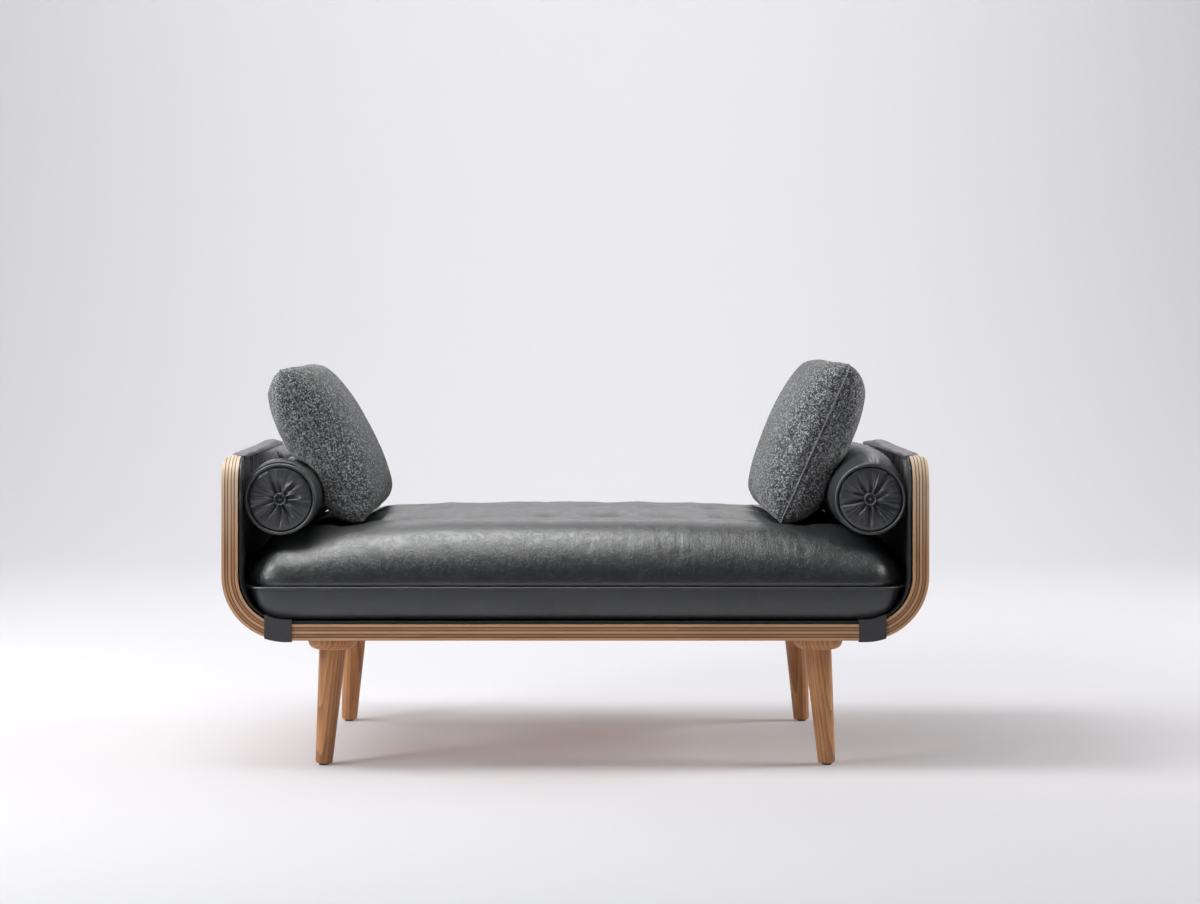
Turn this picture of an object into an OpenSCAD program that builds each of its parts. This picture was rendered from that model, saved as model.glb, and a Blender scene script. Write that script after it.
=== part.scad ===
// Daybed bench sofa: a bent plywood shell on four turned legs, lined with leather,
// with a loose tufted seat cushion, a bolster at each end and a pillow leaning on it.
// The origin is on the floor under the middle of the bench. X runs along the bench,
// with the left end negative, Y runs from the front to the back, and Z is up.

/* [Plywood shell] */
// Overall width of the bench over the outside of the shell's ends
bench_w = 1300; // [1100:10:1700]
// Depth of the shell from front edge to back edge
bench_d = 650; // [560:10:800]
// Height of the shell's underside above the floor
shell_z = 241; // [180:1:320]
// Height of the ends above the shell's underside
end_h = 336; // [310:1:420]
// Thickness of the plywood
ply_t = 30; // [20:1:36]
// Number of laminated layers in the plywood
ply_layers = 5; // [3:1:7]
// Outside radius of the two bends
bend_r = 119; // [95:1:140]
// Width of the recessed glue lines along the front and back edges
glue_line_w = 0.9; // [0.6:0.1:1.4]
// Depth of the recessed glue lines
glue_line_depth = 0.7; // [0.4:0.1:1.2]
// Rounding of the outer edge at the top of each end
end_round = 10; // [6:1:18]
// Rounding of the ends' top corners, seen from the side
top_round = 50; // [30:5:70]

/* [Lining and straps] */
// Thickness of the leather and felt lining
lining_t = 5; // [3:0.5:7]
// How far the lining stands back from the shell's front and back edges
lining_inset = 1.5; // [0.5:0.5:4]
// Width of the leather straps round the base
strap_w = 50; // [35:1:60]
// Thickness of the straps
strap_t = 2.5; // [1.5:0.5:4]
// Distance from the outside of the shell to a strap's centre line
strap_inset = 104; // [95:1:140]
// Height of the padded rim caps above the shell's ends
cap_h = 8; // [5:0.5:12]
// Distance from the round corners of an end's top at which its rim cap starts
cap_start = 1; // [0:1:20]

/* [Legs] */
// Distance from the outside of the shell to a leg's top centre, along the bench
leg_inset_x = 195; // [170:1:260]
// Distance from the shell's front or back edge to a leg's top centre
leg_inset_y = 95; // [75:1:150]
// Splay of the legs along the bench, in degrees
leg_splay_x = 4; // [0:0.5:8]
// Splay of the legs to the front and back, in degrees
leg_splay_y = 4.5; // [0:0.5:8]
// Diameter of a leg at its top
leg_top_d = 51; // [42:1:60]
// Diameter of a leg at its foot
leg_foot_d = 32; // [28:1:40]
// Rounding of the foot's edge
foot_round = 5; // [2:0.5:7]
// Diameter of the turned plate above a leg
plate_d = 92; // [84:1:110]
// Thickness of the turned plate
plate_t = 26; // [20:1:30]
// Rounding of the plate's lower edge
plate_round = 15; // [6:1:17]
// Diameter of the glide under a foot
glide_d = 18; // [12:1:22]
// Thickness of the glide
glide_t = 3.5; // [2:0.5:6]

/* [Leg fasteners] */
// Diameter of the hanger bolt in a leg
bolt_d = 8; // [6:1:10]
// Length of the hanger bolt inside the leg
bolt_in_leg = 45; // [30:1:60]
// Diameter of the threaded insert in a plate
insert_d = 14; // [13:0.5:16]
// Length of the threaded insert
insert_l = 17; // [12:1:17]
// Diameter of the screws that hold a plate
screw_d = 4; // [3:0.5:5]
// Diameter of a screw's head
screw_head_d = 8; // [7:0.5:9]
// How far a screw bites into the shell
screw_bite = 14; // [8:1:17]
// Diameter of the ring that the screws stand on
screw_ring_d = 64; // [62:1:68]
// Number of screws in a plate
screw_count = 4; // [3:1:6]
// Diameter of the pin that holds a glide
glide_pin_d = 4; // [3:0.5:5]
// Length of the pin that holds a glide
glide_pin_l = 14; // [8:1:20]

/* [Seat cushion] */
// Free space between the lining and the cushion's piping at each end
seat_side_gap = 4; // [4:1:15]
// How far the cushion's piping stands back from the shell's front and back edges
seat_edge_inset = 0; // [0:1:15]
// Height of the cushion's seam above its underside
seat_base_h = 58; // [50:1:66]
// Height of the cushion's shoulder above the seam
seat_shoulder_h = 113; // [95:1:125]
// Extra height in the middle of the seat
seat_crown_h = 8; // [0:1:16]
// Width of the rounded shoulder at the two ends
shoulder_w_ends = 115; // [90:1:130]
// Width of the rounded shoulder at the front and the back
shoulder_w_front = 90; // [70:1:110]
// Radius of the cushion's corners, seen from above
seat_corner_r = 42; // [36:1:85]
// Rounding of the cushion's lower front and back edges
seat_base_round = 22; // [12:1:30]
// Distance between columns of tufts, along the bench
tuft_pitch_x = 124; // [100:1:160]
// Distance between rows of tufts, from front to back
tuft_pitch_y = 165; // [120:1:200]
// Depth of a tuft
tuft_depth = 15; // [6:1:18]
// Reach of a tuft's dimple
tuft_reach = 30; // [20:1:40]
// Diameter of the twine that ties a tuft
twine_d = 2.5; // [2:0.5:4]
// Diameter of the twine's washers
washer_d = 22; // [14:1:30]
// Thickness of the twine's washers
washer_t = 2.5; // [1.5:0.5:4]
// Leather and wadding between the foam and the outline of the cushion
core_margin = 24; // [18:1:30]
// Thickness of the cover under the foam
core_floor = 6; // [4:1:10]
// Length of the zip at the back
zip_l = 760; // [500:10:900]
// Width of the zip
zip_w = 9; // [6:1:12]
// Thickness of the zip
zip_t = 1.2; // [0.8:0.1:2]

/* [Piping] */
// Diameter of the piping on the seat and the bolsters
piping_d = 6; // [4:0.5:8]

/* [Bolsters] */
// Diameter of a bolster at its middle
bolster_d = 137; // [120:1:150]
// How much slimmer a bolster is at its ends
bolster_taper = 3; // [1:1:14]
// Length of a bolster between its end seams
bolster_l = 584; // [460:2:600]
// Free space between a bolster and the lining
bolster_side_gap = 0.5; // [0.3:0.1:3]
// How far a bolster sinks into the seat
bolster_sink = 13; // [2:1:18]
// Thickness of the bolster's leather
leather_t = 2; // [1.5:0.5:3]
// Width of the seam allowance turned in at each end
end_flange = 7; // [5:1:10]
// Rise of the pleated end between its rim and its button
pleat_rise = 5; // [3:0.5:7]
// Number of pleats in a bolster's end
pleat_count = 10; // [6:1:16]
// Depth of a pleat where it is deepest
pleat_depth = 2.6; // [1:0.2:3.4]
// Diameter of the button in a bolster's end
button_d = 26; // [18:1:32]
// Height of the button
button_h = 4; // [3:0.5:6]

/* [Pillows] */
// Width of a pillow, from front to back
pillow_w = 430; // [360:5:480]
// Height of a pillow
pillow_h = 345; // [280:5:370]
// Thickness of a pillow
pillow_t = 154; // [110:2:170]
// Lean of the left pillow, in degrees
lean_left = 29; // [20:1:32]
// Lean of the right pillow, in degrees
lean_right = 24; // [20:1:32]
// How much a pillow is pressed flat where it stands on the seat
pillow_sink = 15; // [3:1:20]
// How far the left pillow is pressed in where it leans on its bolster
press_left = 41; // [4:1:46]
// How far the right pillow is pressed in where it leans on its bolster
press_right = 20; // [4:1:46]
// How far a pillow's sides are drawn in between its corners, as a share of its size
pillow_pinch = 0.04; // [0:0.01:0.08]
// Thickness of a pillow's cover
cloth_t = 3; // [2:0.5:5]
// Width of the seam's ridge
seam_w = 2.5; // [1.5:0.5:4]

/* [Hidden] */
$fn = 64;

// Clearances: between bodies that rest on each other, and of a fastener in its hole
rest_gap = 0.3;
fit_gap = 0.1;
// Amount by which a cutter runs past the face that it cuts
past = 1;
left = -1;
right = 1;
front = -1;
back = 1;

// Depth below a plate's underside at which a screw's head lies
screw_sink = 1.5;
// Bare thread of a hanger bolt above its insert, and of an insert below its bore's end
thread_end = 1;
// Height of a rim cap's hem below the shell's top, as a share of the end's rounding
cap_hem = 0.6;
// Section of a rim cap, from its inner to its outer edge: shares of its width and height
cap_section = [[0, 0.55], [0.15, 0.9], [0.4, 1], [0.7, 0.75], [0.92, 0.1]];
// Length of a lump in a rim cap and the place of its top, as shares of the cap's length
cap_lump = 0.75;
cap_lump_top = 0.62;
// Number of sections along a rim cap, around a rounded corner and along a bolster's half
cap_stations = 18;
corner_steps = 5;
barrel_steps = 8;
// Roundings of the seat's foam: along its top, below its ends, below its sides, at its corners
core_top_r = 76;
core_end_r = 55;
core_side_r = 16;
core_corner_r = 50;
// Heights of the points up the lower boxing, as shares of its height
boxing_levels = [0, 0.04, 0.14, 0.3, 0.52, 0.76, 0.99, 1];
// How much tighter the lower boxing's corners are than the top's
boxing_corner_ease = 1;
// Height of the zip on the lower boxing, as a share of the boxing's height
zip_level = 0.6;
// Thickness of the stiff rim of a bolster's pleated end
disc_rim_t = 3;
// Slope of a pleat towards the rim, in degrees, and the flat ring outside the pleats
pleat_slope = 4;
pleat_margin = 4;
// Radius of a pleat's outer tip, and how far a button and a piping ring are set in
pleat_tip = 0.5;
button_sink = 0.5;
ring_inset = 0.5;
// How much smaller a pillow's insert is than its cover
insert_slack = 18;
// How far a pillow's corners are drawn in, and how close to the corner that starts
corner_draw = 0.07;
corner_power = 6;

// Colours
oak = [0.60, 0.45, 0.33];
leather_black = [0.09, 0.10, 0.13];
leather_grey = [0.25, 0.26, 0.27];
wool_grey = [0.42, 0.42, 0.43];
foam_white = [0.92, 0.90, 0.84];
steel = [0.66, 0.67, 0.69];

// The shell's places
end_top = shell_z + end_h;
bend_x = bench_w / 2 - bend_r;
bend_z = shell_z + bend_r;
inner_half = bench_w / 2 - ply_t - lining_t;

// The legs' places
plate_bottom = shell_z - plate_t;
leg_drop = plate_bottom - glide_t;
leg_x = bench_w / 2 - leg_inset_x;
leg_y = bench_d / 2 - leg_inset_y;
leg_shift = [tan(leg_splay_x), tan(leg_splay_y)];
leg_tilt = atan(norm(leg_shift));
leg_turn = atan2(leg_shift.y, leg_shift.x);

// The seat cushion's places
seat_z = shell_z + ply_t + lining_t + strap_t + rest_gap;
seam_z = seat_z + seat_base_h;
seat_half_l = inner_half - seat_side_gap - piping_d;
seat_half_d = bench_d / 2 - seat_edge_inset - piping_d;
tuft_cols = floor(2 * (seat_half_l - shoulder_w_ends - tuft_pitch_x / 4) / tuft_pitch_x) + 1;
tuft_rows = floor(2 * (seat_half_d - shoulder_w_front - tuft_pitch_y / 6) / tuft_pitch_y) + 1;
core_top = seam_z + seat_shoulder_h - tuft_depth - washer_t - core_floor;
core_bottom = seat_z + core_floor;

// The bolsters' places
bolster_r = bolster_d / 2;
bolster_x = inner_half - bolster_side_gap - bolster_r;
bolster_z = max([for (i = [-20:20]) let (x = bolster_x + bolster_r * i / 21)
    if (x < seat_half_l) seat_dome(x, 0) + sqrt(pow(bolster_r, 2) - pow(x - bolster_x, 2))])
    - bolster_sink;
end_r = bolster_r - bolster_taper / 2;
opening_r = end_r - end_flange;

// The pillows' places
pillow_cells = 12;
pillow_power = 2.6;
pillow_root = 2.4;

// Height of the tufted seat

function arch(d, w) = d >= w ? 1 : sqrt(1 - pow(1 - max(d, 0) / w, 2));
function seat_dome(x, y) = seam_z
    + seat_shoulder_h * arch(seat_half_l - abs(x), shoulder_w_ends)
        * arch(seat_half_d - abs(y), shoulder_w_front)
    + seat_crown_h * (1 - pow(x / seat_half_l, 2)) * (1 - pow(y / seat_half_d, 2));
function nearest(x, count, pitch) = let (o = (count - 1) / 2)
    (min(count - 1, max(0, round(x / pitch + o))) - o) * pitch;
function dimple(x, y) = tuft_depth * exp(-pow(norm([x - nearest(x, tuft_cols, tuft_pitch_x),
    y - nearest(y, tuft_rows, tuft_pitch_y)]) / tuft_reach, 2));
function seat_top(x, y) = seat_dome(x, y) - dimple(x, y);

// Grid lines across the seat: close together over the shoulder, then in step with the tufts
shoulder_steps = [0, 0.06, 0.2, 0.45, 0.85];
function edge_lines(half, w) = [for (s = shoulder_steps) half - s * w];
function reversed(list) = [for (i = [len(list) - 1:-1:0]) list[i]];
function grid_lines(half, w, count, pitch, parts) =
    let (edge = edge_lines(half, w), last = (count - 1) * parts / 2 + 1)
    concat([for (e = edge) -e], [for (k = [-last:last]) k * pitch / parts], reversed(edge));
seat_xs = grid_lines(seat_half_l, shoulder_w_ends, tuft_cols, tuft_pitch_x, 4);
seat_ys = grid_lines(seat_half_d, shoulder_w_front, tuft_rows, tuft_pitch_y, 6);

// Draws a point of the corner square in towards a round corner
function rounded_place(x, y) =
    let (r = seat_corner_r,
        p = max(abs(x) - (seat_half_l - r), 0) / r,
        q = max(abs(y) - (seat_half_d - r), 0) / r,
        ax = p > 0 ? seat_half_l - r + r * p * sqrt(1 - q * q / 2) : abs(x),
        ay = q > 0 ? seat_half_d - r + r * q * sqrt(1 - p * p / 2) : abs(y))
    [sign(x) * ax, sign(y) * ay];

// Faces of a grid of rows by columns of points. Each cell is split along the diagonal that
// runs towards the grid's middle, so that no triangle at a corner lies flat along the rim
function grid_faces(rows, cols) = [for (j = [0:rows - 2], i = [0:cols - 2], h = [0, 1])
    let (a = j * cols + i, b = a + 1, c = a + cols, d = c + 1,
        inward = (2 * i < cols - 1) == (2 * j < rows - 1))
    inward ? (h == 0 ? [a, c, d] : [a, d, b]) : (h == 0 ? [a, c, b] : [b, c, d])];
// Numbers of the points round the grid's edge, in order
function grid_loop(rows, cols) = concat([for (i = [0:cols - 2]) i],
    [for (j = [0:rows - 2]) j * cols + cols - 1],
    [for (i = [cols - 1:-1:1]) (rows - 1) * cols + i],
    [for (j = [rows - 1:-1:1]) j * cols]);
// Fan of triangles from a middle point to a loop of points
function fan(loop, middle) = [for (i = [0:len(loop) - 1])
    [middle, loop[i], loop[(i + 1) % len(loop)]]];
// Side faces between one ring of points and the next
function ring_faces(rings, n) = [for (k = [0:rings - 2], i = [0:n - 1], h = [0, 1])
    let (a = k * n + i, b = k * n + (i + 1) % n, c = a + n, d = b + n)
    h == 0 ? [a, b, c] : [b, d, c]];

// Ring of points round a rectangle with rounded corners, at one height
function round_ring(hx, hy, r, z) = [for (k = [0:3], s = [0:corner_steps])
    let (a = k * 90 + s * 90 / corner_steps,
        cx = (k == 0 || k == 3) ? hx - r : r - hx,
        cy = k < 2 ? hy - r : r - hy)
    [cx + r * cos(a), cy + r * sin(a), z]];

// The shape of a pillow, from -1 to 1 across its width and its height

function pillow_side(u, v, w, h) = let (draw = 1 - corner_draw * pow(u * v, corner_power))
    [w / 2 * u * (1 - pillow_pinch * (1 - v * v)) * draw,
        h / 2 * v * (1 - pillow_pinch * (1 - u * u)) * draw];
function pillow_swell(u, v) = pow(max(0, (1 - pow(abs(u), pillow_power))
    * (1 - pow(abs(v), pillow_power))), 1 / pillow_root);
function pillow_step(i) = sin(90 * (2 * i / pillow_cells - 1));
// The section through a pillow's middle, leaning to the left, round its own centre
function pillow_section(lean) = [for (i = [0:pillow_cells], s = [-1, 1])
    let (v = pillow_step(i), p = pillow_side(0, v, pillow_w, pillow_h),
        c = s * pillow_t / 2 * pillow_swell(0, v))
    [c * cos(lean) - p[1] * sin(lean), c * sin(lean) + p[1] * cos(lean)]];
// The seat's highest point between the tufts under a pillow
pillow_floor = max([for (i = [0:12], j = [-4:4])
    seat_top(bolster_x - bolster_r - i * bolster_r / 6, j * tuft_pitch_y / 4)]) + rest_gap;
function pillow_z(lean) = pillow_floor - pillow_sink
    - min([for (p = pillow_section(lean)) p[1]]);
function pillow_x(lean, press) = let (r = bolster_r + rest_gap - press)
    max([for (p = pillow_section(lean)) let (dz = p[1] + pillow_z(lean) - bolster_z)
        if (abs(dz) < r) sqrt(r * r - dz * dz) - p[0]]) - bolster_x;

// Outlines of the shell, drawn in X and Z

// Everything inside the U-shaped line that lies a distance in from the shell's outside
module inside_of(inset, top) {
    r = bend_r - inset;
    translate([-bend_x, shell_z + inset])
        square([2 * bend_x, top - shell_z - inset]);
    for (s = [left, right])
        scale_side(s) translate([bend_x, bend_z]) {
            square([r, top - bend_z]);
            intersection() {
                circle(r, $fn = 128);
                translate([0, -r]) square([r, r]);
            }
        }
}

// Mirrors a shape to the left end
module scale_side(side) {
    if (side == left) mirror([1, 0]) children();
    else children();
}

// The band between two distances in from the shell's outside
module band(from, to, top) {
    difference() {
        inside_of(from, top);
        inside_of(to, top + past);
    }
}

// Extrudes an outline in X and Z from front to back
module run_deep(depth) {
    rotate([90, 0, 0]) translate([0, 0, -depth / 2]) linear_extrude(depth) children();
}

// A body seen from the side as the shell is, with round top corners, which stands back by
// one inset at the front and back, and by another at the top
module side_view(inset, top_inset) {
    r = top_round - top_inset;
    high = end_top - top_inset;
    rotate([90, 0, 90]) linear_extrude(2 * bench_w, center = true) difference() {
        translate([inset - bench_d / 2, 0]) square([bench_d - 2 * inset, high]);
        for (s = [0, 1])
            mirror([s, 0]) translate([bench_d / 2 - inset - r, high - r]) corner_waste(r);
    }
}

// The waste outside a round corner
module corner_waste(r) {
    difference() {
        square([r + past, r + past]);
        circle(r);
    }
}

// Plywood shell

module shell() {
    layer = ply_t / ply_layers;
    color(oak) difference() {
        intersection() {
            run_deep(bench_d) difference() {
                band(0, ply_t, end_top);
                for (s = [left, right])
                    scale_side(s) translate([bench_w / 2 - end_round, end_top - end_round])
                        corner_waste(end_round);
            }
            side_view(0, 0);
        }
        difference() {
            for (i = [1:ply_layers - 1]) run_deep(bench_d + 2 * past)
                band(i * layer - glue_line_w / 2, i * layer + glue_line_w / 2, end_top + past);
            side_view(glue_line_depth, glue_line_depth);
        }
        at_legs() screw_places() translate([0, 0, -past])
            cylinder(d = screw_d + 2 * fit_gap, h = screw_bite + 2 * past);
    }
}

// Lining, rim caps and straps

// The sheets of the lining meet under the straps
module base_lining() {
    half = bench_w / 2 - strap_inset;
    color(leather_black) run_deep(bench_d - 2 * lining_inset) intersection() {
        band(ply_t, ply_t + lining_t, end_top);
        translate([-half, shell_z]) square([2 * half, bend_r]);
    }
}

module end_lining(side) {
    color(leather_black) intersection() {
        run_deep(bench_d) scale_side(side) intersection() {
            band(ply_t, ply_t + lining_t, end_top);
            translate([bench_w / 2 - strap_inset, shell_z])
                square([strap_inset, end_h + past]);
        }
        side_view(lining_inset, 0);
    }
}

// The strap goes round the base with its lining, and follows the start of the bend
module strap(side) {
    color(leather_black) scale_side(side) intersection() {
        difference() {
            run_deep(bench_d + 2 * strap_t) band(-strap_t, ply_t + lining_t + strap_t, end_top);
            run_deep(bench_d) band(0, ply_t + lining_t, end_top + past);
        }
        translate([bench_w / 2 - strap_inset - strap_w / 2, -bench_d, 0])
            cube([strap_w, 2 * bench_d, bend_z]);
    }
}

// The padded cap over an end's top edge: low at both ends, lumpy in between
module rim_cap(side) {
    inner = inner_half + rest_gap;
    outer = bench_w / 2 - rest_gap;
    wide = outer - inner;
    half = bench_d / 2 - top_round - cap_start;
    hem = end_round * cap_hem;
    points = [for (k = [0:cap_stations])
        let (t = k / cap_stations, y = half * (2 * t - 1),
            swell = min(1, 0.15 + 4 * t, 0.4 + 6 * (1 - t)),
            h = cap_h * swell * (0.65 + 0.35 * cos(360 * (t - cap_lump_top) / cap_lump)))
        each concat([[inner, y, end_top - hem]],
            [for (c = cap_section) [inner + c[0] * wide, y, end_top + c[1] * h]],
            [[outer, y, end_top - hem]])];
    n = len(cap_section) + 2;
    last = cap_stations * n;
    color(leather_grey) scale_side(side) difference() {
        polyhedron(points, concat(ring_faces(cap_stations + 1, n),
            [[for (i = [n - 1:-1:0]) i], [for (i = [0:n - 1]) last + i]]));
        run_deep(bench_d) difference() {
            translate([inner_half, bend_z])
                square([bench_w / 2 - inner_half, end_top - bend_z]);
            translate([bench_w / 2 - end_round, end_top - end_round])
                corner_waste(end_round);
        }
    }
}

// Legs and their plates

// Puts a shape at each leg's top centre, on the shell's underside, with X and Y outwards
module at_legs() {
    for (sx = [left, right], sy = [front, back])
        at_leg(sx, sy) children();
}
module at_leg(sx, sy) {
    translate([sx * leg_x, sy * leg_y, shell_z])
        mirror([sx == left ? 1 : 0, 0, 0]) mirror([0, sy == front ? 1 : 0, 0]) children();
}
// Tilts a shape that points down so that it follows the leg's axis from the plate's underside
module along_leg() {
    translate([0, 0, -plate_t]) rotate([0, 0, leg_turn]) rotate([0, -leg_tilt, 0]) children();
}
module screw_places() {
    for (k = [0:screw_count - 1])
        rotate([0, 0, 45 + k * 360 / screw_count])
            translate([screw_ring_d / 2, 0, 0]) children();
}

// The turned plate: flat on top, with a rounded lower edge, bored for the insert
module leg_plate(sx, sy) {
    sink = plate_t - insert_l;
    color(oak) at_leg(sx, sy) difference() {
        rotate_extrude() difference() {
            translate([0, -plate_t]) square([plate_d / 2, plate_t]);
            translate([plate_d / 2 - plate_round, plate_round - plate_t])
                mirror([0, 1]) corner_waste(plate_round);
        }
        along_leg() translate([0, 0, sink / 2])
            cylinder(d = insert_d + 2 * fit_gap, h = insert_l + plate_t);
        along_leg() translate([0, 0, -plate_t])
            cylinder(d = bolt_d + 2 * fit_gap, h = 3 * plate_t);
        screw_places() screw_cut();
    }
}
module screw_cut() {
    translate([0, 0, -plate_t - past]) cylinder(d = screw_d + 2 * fit_gap, h = plate_t + 2 * past);
    translate([0, 0, -plate_t - past])
        cylinder(d = screw_head_d + 2 * fit_gap, h = past + screw_sink);
    translate([0, 0, screw_sink - plate_t]) cylinder(d1 = screw_head_d + 2 * fit_gap,
        d2 = screw_d + 2 * fit_gap, h = (screw_head_d - screw_d) / 2);
}

// The tapered leg, cut level at the plate and above the glide
module leg(sx, sy) {
    long = leg_drop / cos(leg_tilt);
    color(oak) at_leg(sx, sy) difference() {
        intersection() {
            along_leg() rotate([180, 0, 0]) rotate_extrude() leg_outline(long);
            translate([-bench_d / 2, -bench_d / 2, -plate_t - leg_drop])
                cube([bench_d, bench_d, leg_drop]);
        }
        along_leg() translate([0, 0, -bolt_in_leg - past])
            cylinder(d = bolt_d + 2 * fit_gap, h = bolt_in_leg + 2 * past);
        translate([leg_drop * leg_shift.x, leg_drop * leg_shift.y, -plate_t - leg_drop - past])
            cylinder(d = glide_pin_d + 2 * fit_gap, h = glide_pin_l + 2 * past);
    }
}
// Radius of a leg of a given length at a distance from its top
function leg_r(t, long) = leg_top_d / 2 - (leg_top_d - leg_foot_d) / 2 * t / long;
// Half of the leg's section, from past its top at the origin down to its foot
module leg_outline(long) {
    over = leg_top_d / 2 * tan(leg_tilt) + past;
    tip = long + leg_foot_d / 2 * tan(leg_tilt);
    polygon(concat([[0, -over], [leg_r(-over, long), -over]],
        [for (a = [0:15:90]) let (rise = foot_round * (1 - sin(a)))
            [leg_r(tip - rise, long) - foot_round * (1 - cos(a)), tip - rise]],
        [[0, tip]]));
}

module hanger_bolts() {
    color(steel) at_legs() along_leg() translate([0, 0, -bolt_in_leg])
        cylinder(d = bolt_d, h = bolt_in_leg + (plate_t + insert_l) / 2 - 2 * thread_end);
}

module insert_nuts() {
    color(steel) at_legs() along_leg() translate([0, 0, (plate_t - insert_l) / 2])
        difference() {
            cylinder(d = insert_d, h = insert_l - thread_end);
            translate([0, 0, -past]) cylinder(d = bolt_d + 2 * fit_gap, h = insert_l + 2 * past);
        }
}

module plate_screws() {
    cone_h = (screw_head_d - screw_d) / 2;
    color(steel) at_legs() screw_places() translate([0, 0, screw_sink - plate_t]) {
        cylinder(d1 = screw_head_d, d2 = screw_d, h = cone_h);
        translate([0, 0, cone_h])
            cylinder(d = screw_d, h = plate_t - screw_sink - cone_h + screw_bite);
    }
}

module glides() {
    color(leather_black) at_legs()
        translate([leg_drop * leg_shift.x, leg_drop * leg_shift.y, -shell_z]) {
            cylinder(d = glide_d, h = glide_t);
            translate([0, 0, glide_t]) cylinder(d = glide_pin_d, h = glide_pin_l);
        }
}

// Seat cushion

module seat_cover_top() {
    cols = len(seat_xs);
    rows = len(seat_ys);
    loop = grid_loop(rows, cols);
    points = concat([for (y = seat_ys, x = seat_xs) let (p = rounded_place(x, y))
        [p[0], p[1], seat_top(x, y)]], [[0, 0, seam_z]]);
    color(leather_grey) difference() {
        polyhedron(points, concat(grid_faces(rows, cols), fan(loop, rows * cols)));
        seat_foam();
        for (s = [left, right]) bolster_space(s, rest_gap);
    }
}

// The lower half of the cover: its ends follow the shell's bends
module seat_cover_base() {
    end_round_r = seat_half_l - bend_x;
    rings = len(boxing_levels);
    points = concat([for (t = boxing_levels) each round_ring(
            bend_x + base_reach(t * seat_base_h, end_round_r),
            seat_half_d - seat_base_round + base_reach(t * seat_base_h, seat_base_round),
            seat_corner_r - boxing_corner_ease, seat_z + t * seat_base_h)],
        [[0, 0, seat_z], [0, 0, seam_z]]);
    n = 4 * (corner_steps + 1);
    color(leather_grey) difference() {
        polyhedron(points, concat(
            [for (f = ring_faces(rings, n)) reversed(f)],
            fan([for (i = [0:n - 1]) i], rings * n),
            fan([for (i = [n - 1:-1:0]) (rings - 1) * n + i], rings * n + 1)));
        seat_foam();
    }
}
// Reach of a rounding of radius r at a height h above its foot
function base_reach(h, r) = h >= r ? r : sqrt(r * r - pow(r - h, 2));

// The piping: straight runs joined by quarter rings
module seat_piping() {
    r = seat_corner_r + piping_d / 2;
    cx = seat_half_l - seat_corner_r;
    cy = seat_half_d - seat_corner_r;
    color(leather_grey) translate([0, 0, seam_z]) {
        for (s = [front, back])
            translate([-cx, s * (cy + r), 0]) rotate([0, 90, 0])
                cylinder(d = piping_d, h = 2 * cx);
        for (s = [left, right])
            translate([s * (cx + r), cy, 0]) rotate([90, 0, 0])
                cylinder(d = piping_d, h = 2 * cy);
        for (k = [0:3])
            translate([(k == 0 || k == 3 ? 1 : -1) * cx, (k < 2 ? 1 : -1) * cy, 0])
                rotate([0, 0, 90 * k]) rotate_extrude(angle = 90)
                    translate([r, 0]) circle(d = piping_d);
    }
}

// The foam block, rounded along its top and its ends
module foam_outline(half, low_r, high_r) {
    difference() {
        translate([-half, core_bottom]) square([2 * half, core_top - core_bottom]);
        for (s = [left, right]) scale_side(s) {
            translate([half - high_r, core_top - high_r]) corner_waste(high_r);
            translate([half - low_r, core_bottom + low_r]) mirror([0, 1]) corner_waste(low_r);
        }
    }
}
module seat_foam() {
    half_l = seat_half_l - core_margin;
    half_d = seat_half_d - core_margin;
    intersection() {
        run_deep(bench_d) foam_outline(half_l, core_end_r, core_top_r);
        rotate([0, 0, 90]) run_deep(bench_w) foam_outline(half_d, core_side_r, core_top_r);
        linear_extrude(end_top) difference() {
            square([2 * half_l, 2 * half_d], center = true);
            for (sx = [0, 1], sy = [0, 1])
                mirror([sx, 0]) mirror([0, sy])
                    translate([half_l - core_corner_r, half_d - core_corner_r])
                        corner_waste(core_corner_r);
        }
    }
}
module seat_core() {
    color(foam_white) difference() {
        seat_foam();
        at_tufts() tuft_tie(fit_gap, past);
    }
}

module at_tufts() {
    for (i = [0:tuft_cols - 1], j = [0:tuft_rows - 1])
        translate([(i - (tuft_cols - 1) / 2) * tuft_pitch_x,
            (j - (tuft_rows - 1) / 2) * tuft_pitch_y, 0]) children();
}
// A length of twine between two washers that lie flush in the foam
module tuft_tie(gap, over) {
    translate([0, 0, core_bottom - over]) cylinder(d = washer_d + 2 * gap, h = washer_t + over);
    translate([0, 0, core_bottom + washer_t]) cylinder(d = twine_d + 2 * gap,
        h = core_top - core_bottom - 2 * washer_t);
    translate([0, 0, core_top - washer_t]) cylinder(d = washer_d + 2 * gap, h = washer_t + over);
}
module seat_tuft_ties() {
    color(wool_grey) at_tufts() tuft_tie(0, 0);
}

// The zip lies on the straight part of the lower boxing, at the back
module seat_zip() {
    color(leather_black) translate([-zip_l / 2, seat_half_d, seat_z + seat_base_h * zip_level])
        cube([zip_l, zip_t, zip_w]);
}

// Bolsters

// A barrel along Y whose radius falls off evenly to its ends
module barrel(mid_r, tip_r, long) {
    rotate([90, 0, 0]) rotate_extrude() polygon(concat([[0, -long / 2]],
        [for (k = [0:barrel_steps]) let (t = 2 * k / barrel_steps - 1)
            [mid_r - (mid_r - tip_r) * t * t, t * long / 2]],
        [[0, long / 2]]));
}
module at_bolster(side) {
    translate([side * bolster_x, 0, bolster_z]) children();
}
// The room that a bolster takes, as a plain cylinder right through the seat
module bolster_space(side, gap) {
    at_bolster(side) rotate([90, 0, 0])
        cylinder(r = bolster_r + gap, h = bench_d * 2, center = true, $fn = 128);
}
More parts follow.
